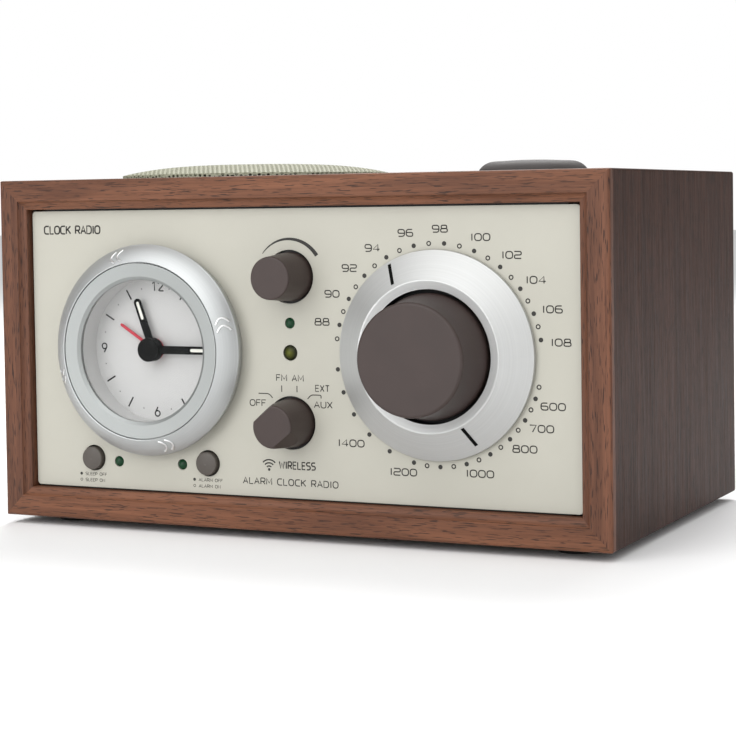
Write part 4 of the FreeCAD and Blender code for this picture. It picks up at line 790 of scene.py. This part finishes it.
wave_x, wave_z = MODE.x - 8.2, FLOOR_Z + 19.0
waves = lettering("WIRELESS", MODE.x + 1.8, FLOOR_Z + 20.6, 2.2, 0.62, 0.24)
for radius in (1.1, 2.1, 3.1):
    turns = [math.radians(45 + 90 * k / 10) for k in range(11)]
    waves.append([Vector((wave_x + radius * math.cos(t), wave_z + radius * math.sin(t)))
                  for t in turns])
on_panel("wireless_sign", waves, 0.42)
dotted("wireless_dot", [(wave_x, wave_z)], 0.45, ink, PANEL_Y, "cabinet")
print("wording:", len(lower + upper + waves), "strokes")


# %% [markdown]
# Under each push button two fine lines say what it does when it is out and when it is in. A full
# bullet marks one and an open bullet the other.

# %% Lettering of the push buttons
OFF_Z, ON_Z = FLOOR_Z + 14.6, FLOOR_Z + 12.6
fine, bullets, hollow_bullets = [], [], []
for x, words in ((MODE.x - 78.7, "SLEEP"), (MODE.x - 35.5, "ALARM")):
    for z, state in ((OFF_Z, " OFF"), (ON_Z, " ON")):
        fine += lettering(words + state, x + 1.6, z, 0.95, 0.85, 0.3, "start")
    bullets.append((x, OFF_Z))
    hollow_bullets.append(circle_path(x, ON_Z, 0.4))
on_panel("button_lettering", fine + hollow_bullets, 0.16)
dotted("button_bullets", bullets, 0.5, ink, PANEL_Y, "cabinet")
print("push buttons:", len(fine), "strokes")


# %% [markdown]
# The crescent is the one mark that changes width, so it is a face of its own, thickened like ink.

# %% Volume crescent
def flat_shape(name, outline, material, y, body, thickness=INK_THICKNESS):
    """A closed outline in x and z, in mm, as a plate with its middle on the plane y."""
    mesh = bpy.data.meshes.new(name)
    low, high = (y - thickness / 2) * MM, (y + thickness / 2) * MM
    count = len(outline)
    vertices = [(x * MM, low, z * MM) for x, z in outline]
    vertices += [(x * MM, high, z * MM) for x, z in outline]
    sides = [(k, (k + 1) % count, (k + 1) % count + count, k + count) for k in range(count)]
    faces = [tuple(range(count)), tuple(reversed(range(count, 2 * count))), *sides]
    mesh.from_pydata(vertices, [], faces)
    shape = bmesh.new()
    shape.from_mesh(mesh)
    bmesh.ops.recalc_face_normals(shape, faces=shape.faces)
    shape.to_mesh(mesh)
    shape.free()
    mesh.materials.append(material)
    piece = new_piece(name, mesh)
    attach(piece, body)


CRESCENT_RADIUS, CRESCENT_STEPS = 11.8, 40
shares = [k / CRESCENT_STEPS for k in range(CRESCENT_STEPS + 1)]
sweep = [(-52 + 108 * share, 0.1 + 0.55 * share ** 0.8) for share in shares]
outer = [dial_point(VOLUME, degrees, CRESCENT_RADIUS + half) for degrees, half in sweep]
inner = [dial_point(VOLUME, degrees, CRESCENT_RADIUS - half) for degrees, half in reversed(sweep)]
flat_shape("volume_crescent", outer + inner, ink, PANEL_Y, "cabinet")
print("crescent:", len(outer + inner), "points round its outline")


# %% [markdown]
# ## The clock's face
# The dial is printed with four numerals, a line at each other hour and a fine dot at each half hour.
# The numerals have round bowls, unlike those of the tuning scale, so the six and the nine are drawn
# as a circle and a straight tail.

# %% Clock printing
def six(x, z, height, turned=False):
    """A six, or a nine when turned: a bowl and a straight tail."""
    way = -1 if turned else 1
    bowl = 0.3 * height
    centre_z = z - way * (height / 2 - bowl)
    tail = [Vector((x - way * bowl * 0.86, centre_z + way * bowl * 0.5)),
            Vector((x + way * 0.05 * height, z + way * height / 2))]
    return [circle_path(x, centre_z, bowl), tail]


face = six(*dial_point(CLOCK, 180, 20.4), 3.0) + six(*dial_point(CLOCK, 270, 19.9), 3.0, True)
twelve_x, twelve_z = CLOCK.x + 1.0, CLOCK.z + 20.3
face.append([Vector((twelve_x - 2.1, twelve_z + 0.9)), Vector((twelve_x - 1.3, twelve_z + 1.45)),
             Vector((twelve_x - 1.3, twelve_z - 1.45))])
face.append(rounded([(twelve_x + 0.1, twelve_z + 0.75), (twelve_x + 0.3, twelve_z + 1.45),
                     (twelve_x + 1.8, twelve_z + 1.45), (twelve_x + 1.9, twelve_z + 0.4),
                     (twelve_x + 0.05, twelve_z - 1.45), (twelve_x + 2.1, twelve_z - 1.45)], 0.7))
three_x, three_z = CLOCK.x + 20.1, CLOCK.z
face.append(rounded([(three_x - 0.8, three_z + 1.45), (three_x + 0.8, three_z + 1.45),
                     (three_x - 0.1, three_z + 0.25), (three_x + 0.9, three_z + 0.2),
                     (three_x + 0.9, three_z - 1.45), (three_x - 0.9, three_z - 1.3)], 0.55))
drawn("clock_numerals", face, 0.45, dial_ink, DIAL_FACE_Y, "cabinet")
print("numerals:", len(face), "strokes")


# %% [markdown]
# The marks between them point at the middle. The open hours have a line, the half hours a dot.

# %% Clock marks
hours = [30 * k for k in range(12) if k % 3]
ticks = [[Vector(dial_point(CLOCK, a, 18.4)), Vector(dial_point(CLOCK, a, 22.0))] for a in hours]
drawn("clock_ticks", ticks, 0.5, dial_ink, DIAL_FACE_Y, "cabinet")
halves = [dial_point(CLOCK, 15 + 30 * k, 20.1) for k in range(12)]
dotted("clock_half_hours", halves, 0.2, ink, DIAL_FACE_Y, "cabinet")
print("clock marks:", len(ticks), "lines and", len(halves), "dots")


# %% [markdown]
# The hour and minute hands have a slot that is filled with luminous paste. The paste stands a little
# back from the hand's face, and it is a rounded bar that follows the slot.

# %% Paste in the hands
def slot_outline(centre, degrees, start, end, width, steps=8):
    """A bar with round ends, from start to end along a direction on the clock, in mm."""
    half = width / 2
    local = []
    for end_at, way in ((end - half, 1), (start + half, -1)):
        for k in range(steps + 1):
            turn = math.pi * k / steps
            local.append((way * half * math.cos(turn), end_at + way * half * math.sin(turn)))
    turn = math.radians(degrees)
    return [(centre.x + u * math.cos(turn) + v * math.sin(turn),
             centre.z - u * math.sin(turn) + v * math.cos(turn)) for u, v in local]


PASTE_WIDTH, PASTE_THICKNESS = 1.03, 0.3
for hand, degrees, start, end, behind in (("hour_hand", -19.5, 10.2, 16.3, 0.62),
                                          ("minute_hand", 90.0, 14.9, 19.9, 1.72)):
    flat_shape(hand + "_paste", slot_outline(CLOCK, degrees, start, end, PASTE_WIDTH), lume,
               front(hand) + behind, hand, PASTE_THICKNESS)
    print(hand, "paste is", round(end - start, 1), "mm long")


# %% [markdown]
# ## Marks on curved metal
# Two marks lie on turned surfaces: the pointers on the dial ring, and the raised double arcs on the
# bezel that show which way to turn it. Both are drawn flat, like ink, and then each point is moved
# back by the depth that the turned surface has at its radius.

# %% Pointers and arcs
def settled(piece, centre, depth):
    """Moves each point back to a turned surface. depth gives its y, in mm, at a radius in mm."""
    for vertex in piece.data.vertices:
        radius = math.hypot(vertex.co.x / MM - centre.x, vertex.co.z / MM - centre.z)
        vertex.co.y += depth(radius) * MM


def ring_depth(radius):
    """The dial ring's cone, from its crest to its rim."""
    crest, rim = 23.4, 31.7
    return FRONT_Y - 3.5 + (radius - crest) * 5.55 / (rim - crest)


def bezel_depth(radius):
    """The bezel's slope: steep at its rim and flatter towards its crest."""
    share = (radius - 28.7) / (33.8 - 28.7)
    return FRONT_Y - 5.0 + 2.44 * share + 1.86 * share ** 2


def even_path(start, end, steps=8):
    """A straight path with points along it, so that it can follow a curved surface."""
    return [Vector(start).lerp(Vector(end), k / steps) for k in range(steps + 1)]


pointers = [even_path(dial_point(DIAL, a, start), dial_point(DIAL, a, end))
            for a, start, end in ((-27.5, 24.4, 31.1), (152.3, 23.7, 29.9))]
settled(drawn("dial_pointers", pointers, 1.05, hand_enamel, 0.0, "tuning_dial", 0.24),
        DIAL, ring_depth)

arcs = []
for quarter in range(4):
    for spread in (-4.6, 0.0):
        middle_angle = -15.7 + 90 * quarter + spread
        arcs.append([Vector(dial_point(CLOCK, middle_angle + 3.2 * (k / 5 - 1) ** 2, 29.6 + 0.35 * k))
                     for k in range(11)])
settled(drawn("bezel_arcs", arcs, 0.6, arc_metal_painted_highlight, 0.0, "clock_bezel", 0.6),
        CLOCK, bezel_depth)
print(len(pointers), "pointers and", len(arcs), "arcs")


# %% [markdown]
# ## The grille
# The grille is thin steel, punched with small holes in a honeycomb and pressed into a low dome whose
# edge turns down to the cabinet. A geometry tree lays hexagonal cells, each with its hole, on a
# staggered grid, welds them into one sheet, and then bends the sheet: the distance from its middle
# becomes distance along the dome's profile. A modifier gives it the thickness of the steel.

# %% The dome's profile
GRILLE_RADIUS, GRILLE_RISE, EDGE_DROP, STEEL = 46.3, 4.9, 3.4, 0.7


def dome_profile(steps=100):
    """(travel, radius, height) from the apex to the edge, flat in the middle and round outside."""
    points = [(0.0, 0.0, TOP_Z + GRILLE_RISE)]
    for k in range(1, steps + 1):
        travel, last_radius, last_height = points[-1]
        radius = GRILLE_RADIUS * k / steps
        height = TOP_Z + GRILLE_RISE - EDGE_DROP * (k / steps) ** 3.3
        points.append((travel + math.hypot(radius - last_radius, height - last_height), radius, height))
    return points


PROFILE = dome_profile()
TRAVELS = [travel for travel, _, _ in PROFILE]


def dome_point(travel):
    """(radius, height) after travelling some millimetres from the apex along the profile."""
    end, _, edge = PROFILE[-1]
    if travel >= end:
        return GRILLE_RADIUS, max(edge - (travel - end), TOP_Z)
    after = bisect.bisect_right(TRAVELS, travel)
    start, low_radius, low_height = PROFILE[after - 1]
    share = (travel - start) / (TRAVELS[after] - start)
    _, radius, height = PROFILE[after]
    return low_radius + (radius - low_radius) * share, low_height + (height - low_height) * share


print("from apex to edge along the dome:", round(TRAVELS[-1], 2), "mm")


# %% [markdown]
# A cell is a ring of twelve faces round its hole, and its outer edge is a hexagon, so that cells fit
# together. Six of the twelve outer points are the hexagon's corners and six the middles of its sides.

# %% Cell and sheet
HOLE_PITCH, HOLE_SHARE = 1.75, 0.62


def cell_mesh():
    """One cell: a hexagon of the sheet round a hole with twelve sides."""
    outer = HOLE_PITCH * MM / math.sqrt(3)
    inner = HOLE_PITCH * MM * HOLE_SHARE / 2
    vertices, faces = [], []
    for k in range(12):
        turn = math.radians(30 * k)
        reach = outer * (1.0 if k % 2 else math.sqrt(3) / 2)
        vertices.append((reach * math.cos(turn), reach * math.sin(turn), 0.0))
        vertices.append((inner * math.cos(turn), inner * math.sin(turn), 0.0))
    for k in range(12):
        after = (k + 1) % 12
        faces.append((2 * k, 2 * after, 2 * after + 1, 2 * k + 1))
    mesh = bpy.data.meshes.new("grille_cell")
    mesh.from_pydata(vertices, [], faces)
    return mesh


def sheet_tree():
    """Sets a cell on every point and welds them."""
    tree, given = start_tree("punched_sheet", Cell=("Object", None), Paint=("Material", None))
    cell = add(tree, "GeometryNodeObjectInfo", {"Object": given["Cell"]})
    placed = add(tree, "GeometryNodeInstanceOnPoints", {
        "Points": given["Geometry"], "Instance": cell.outputs["Geometry"],
    })
    real = add(tree, "GeometryNodeRealizeInstances", {"Geometry": placed.outputs[0]})
    welded = add(tree, "GeometryNodeMergeByDistance", {"Geometry": real.outputs[0], "Distance": 2e-5})
    return end_tree(tree, welded.outputs[0], given["Paint"])


def honeycomb(reach):
    """Staggered points within reach, in mm."""
    row = HOLE_PITCH * math.sqrt(3) / 2
    count = int(reach / row) + 1
    points = []
    for k in range(-count, count + 1):
        shift = HOLE_PITCH / 2 if k % 2 else 0.0
        for j in range(-count - 1, count + 2):
            x, y = j * HOLE_PITCH + shift, k * row
            if math.hypot(x, y) < reach:
                points.append((x * MM, y * MM, 0.0))
    return points


print(len(honeycomb(GRILLE_RADIUS)), "holes inside the rim")


# %% [markdown]
# The flat sheet is bent point by point: how far a point lies from the middle says how far it travels
# along the profile. Points that meet at the rim are merged, and Solidify gives the steel its depth.

# %% The punched grille
cell = new_piece("grille_cell", cell_mesh())
sheet_points = bpy.data.meshes.new("grille_mesh")
sheet_points.from_pydata(honeycomb(GRILLE_RADIUS + 1.7), [], [])
grille = run_tree(new_piece("grille_mesh", sheet_points), sheet_tree(), Cell=cell,
                  Paint=grille_paint)
bpy.data.objects.remove(cell)
for vertex in grille.data.vertices:
    travel = math.hypot(vertex.co.x, vertex.co.y) / MM
    radius, height = dome_point(travel)
    share = radius / travel if travel else 0.0
    vertex.co = Vector((vertex.co.x * share + GRILLE.x * MM, vertex.co.y * share + GRILLE.y * MM,
                        height * MM))
sheet = bmesh.new()
sheet.from_mesh(grille.data)
bmesh.ops.remove_doubles(sheet, verts=sheet.verts, dist=1e-5)
bmesh.ops.dissolve_degenerate(sheet, edges=sheet.edges, dist=1e-5)
sheet.to_mesh(grille.data)
sheet.free()
steel = grille.modifiers.new("steel", "SOLIDIFY")
steel.thickness = STEEL * MM
steel.offset = -1.0
print("grille:", len(grille.data.polygons), "faces")
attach(grille, "cabinet")
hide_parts("speaker_grille")


# %% [markdown]
# Black cloth is glued under the steel, so the holes look dark and the speaker stays clean.

# %% The cloth under the grille
def turned_up(name, outline, centre, material, body, steps=96):
    """A closed mesh turned about the upright line through centre. outline is (radius, z) in mm."""
    shape = bmesh.new()
    rings = []
    for radius, z in outline:
        if radius < 1e-6:
            rings.append([shape.verts.new((centre.x * MM, centre.y * MM, z * MM))])
            continue
        rings.append([shape.verts.new(((centre.x + radius * math.cos(2 * math.pi * k / steps)) * MM,
                                       (centre.y + radius * math.sin(2 * math.pi * k / steps)) * MM,
                                       z * MM)) for k in range(steps)])
    for below, above in zip(rings, rings[1:] + rings[:1]):
        for k in range(steps):
            corners = [below[k % len(below)], below[(k + 1) % len(below)],
                       above[(k + 1) % len(above)], above[k % len(above)]]
            unique = list(dict.fromkeys(corners))
            if len(unique) > 2:
                shape.faces.new(unique)
    bmesh.ops.recalc_face_normals(shape, faces=shape.faces)
    mesh = bpy.data.meshes.new(name)
    shape.to_mesh(mesh)
    shape.free()
    mesh.materials.append(material)
    mesh.shade_smooth()
    mesh.set_sharp_from_angle(angle=math.radians(35))
    piece = new_piece(name, mesh)
    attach(piece, body)


CLOTH_GAP, CLOTH_THICKNESS = STEEL + 0.25, 0.4
under = [dome_point(travel) for travel in range(0, 46, 3)]
cloth_top = [(radius, height - CLOTH_GAP) for radius, height in under]
cloth_low = [(radius, height - CLOTH_GAP - CLOTH_THICKNESS) for radius, height in reversed(under)]
turned_up("grille_cloth", cloth_top + cloth_low, GRILLE, cloth, "cabinet")
print("cloth reaches", round(under[-1][0], 1), "mm from the middle")


# %% [markdown]
# ## Camera
# The camera stands in front of the radio's right side, a little lower than its top, and looks at it
# with a long lens, which keeps the upright edges nearly parallel. A small shift of the lens sets the
# radio in the frame.

# %% Camera
STAND = Vector((288.8, FRONT_Y - 541.66, 104.8))
AZIMUTH, ELEVATION, ROLL = (math.radians(d) for d in (25.61, 2.478, -0.841))
back = Vector((math.sin(AZIMUTH) * math.cos(ELEVATION), -math.cos(AZIMUTH) * math.cos(ELEVATION),
               math.sin(ELEVATION)))
level = Vector((0, 0, 1)).cross(back).normalized()
upright = back.cross(level)
right = level * math.cos(ROLL) + upright * math.sin(ROLL)
up = upright * math.cos(ROLL) - level * math.sin(ROLL)
camera = bpy.data.objects.new("camera", bpy.data.cameras.new("camera"))
bpy.context.scene.collection.objects.link(camera)
turn = Matrix((right, up, back)).transposed().to_4x4()
camera.matrix_world = Matrix.Translation(STAND * MM) @ turn
camera.data.lens = 96.75
camera.data.shift_y = -0.106
camera.data.clip_start = 0.01
bpy.context.scene.camera = camera
bpy.context.scene.view_settings.view_transform = "Standard"
print("camera:", round((STAND - Vector((0, 0, TOP_Z / 2))).length), "mm from the radio's middle")


# %% [markdown]
# ## Floor and light
# The light is that of a product table: a white floor, a big soft box high in front, a smaller one
# behind the object and a weak one low on the left. The world is bright in front, above and on the
# right, and darker behind and on the left, so the metal rings have something to reflect.

# %% Floor and lights
floor_material = gritty("matt_card_white", "#f4f4f4", "#f2f2f2", 0.9, 1.0, 0.002, 60.0)
floor_mesh = bpy.data.meshes.new("floor")
floor_mesh.from_pydata([(-6, -6, 0), (6, -6, 0), (6, 6, 0), (-6, 6, 0)], [], [(0, 1, 2, 3)])
floor_mesh.materials.append(floor_material)
floor = new_piece("floor", floor_mesh)


def soft_box(name, place, aim, size, power):
    """A square area light, in metres and watts."""
    light = bpy.data.lights.new(name, "AREA")
    light.size = size
    light.energy = power
    lamp = bpy.data.objects.new(name, light)
    bpy.context.scene.collection.objects.link(lamp)
    lamp.matrix_world = Matrix.Translation(place) @ (Vector(aim) - Vector(place)).to_track_quat(
        "-Z", "Y").to_matrix().to_4x4()
    print(name, "gives", power, "W")


soft_box("key_box", (-0.2, -1.5, 1.4), (0.0, 0.0, 0.05), 2.4, 27.0)
soft_box("rear_box", (-0.25, 0.75, 1.05), (0.0, 0.0, 0.0), 0.8, 15.0)
soft_box("front_fill", (-0.5, -1.3, 0.35), (0.0, 0.0, 0.06), 0.8, 3.5)


# %% [markdown]
# The world's strength follows the direction that a ray leaves in. Rays straight from the camera see
# plain white instead, so the background stays even.

# %% World
world = bpy.data.worlds.new("studio")
bpy.context.scene.world = world
world.use_nodes = True
sky = world.node_tree
sky.nodes.clear()
direction = add(sky, "ShaderNodeTexCoord").outputs["Generated"]
lit_side = add(sky, "ShaderNodeVectorMath", {0: direction, 1: (0.5, -0.75, 0.35)},
               operation="DOT_PRODUCT")
glow = add(sky, "ShaderNodeMapRange", {
    "Value": lit_side.outputs["Value"], "From Min": -0.3, "From Max": 0.9, "To Min": 0.35,
})
around = add(sky, "ShaderNodeBackground", {"Color": (1, 1, 1, 1), "Strength": glow.outputs[0]})
seen = add(sky, "ShaderNodeBackground", {"Color": (1, 1, 1, 1), "Strength": 1.0})
rays = add(sky, "ShaderNodeLightPath")
chosen = add(sky, "ShaderNodeMixShader", {
    0: rays.outputs["Is Camera Ray"], 1: around.outputs[0], 2: seen.outputs[0],
})
add(sky, "ShaderNodeOutputWorld", {"Surface": chosen.outputs[0]})
print("world:", len(sky.nodes), "nodes")
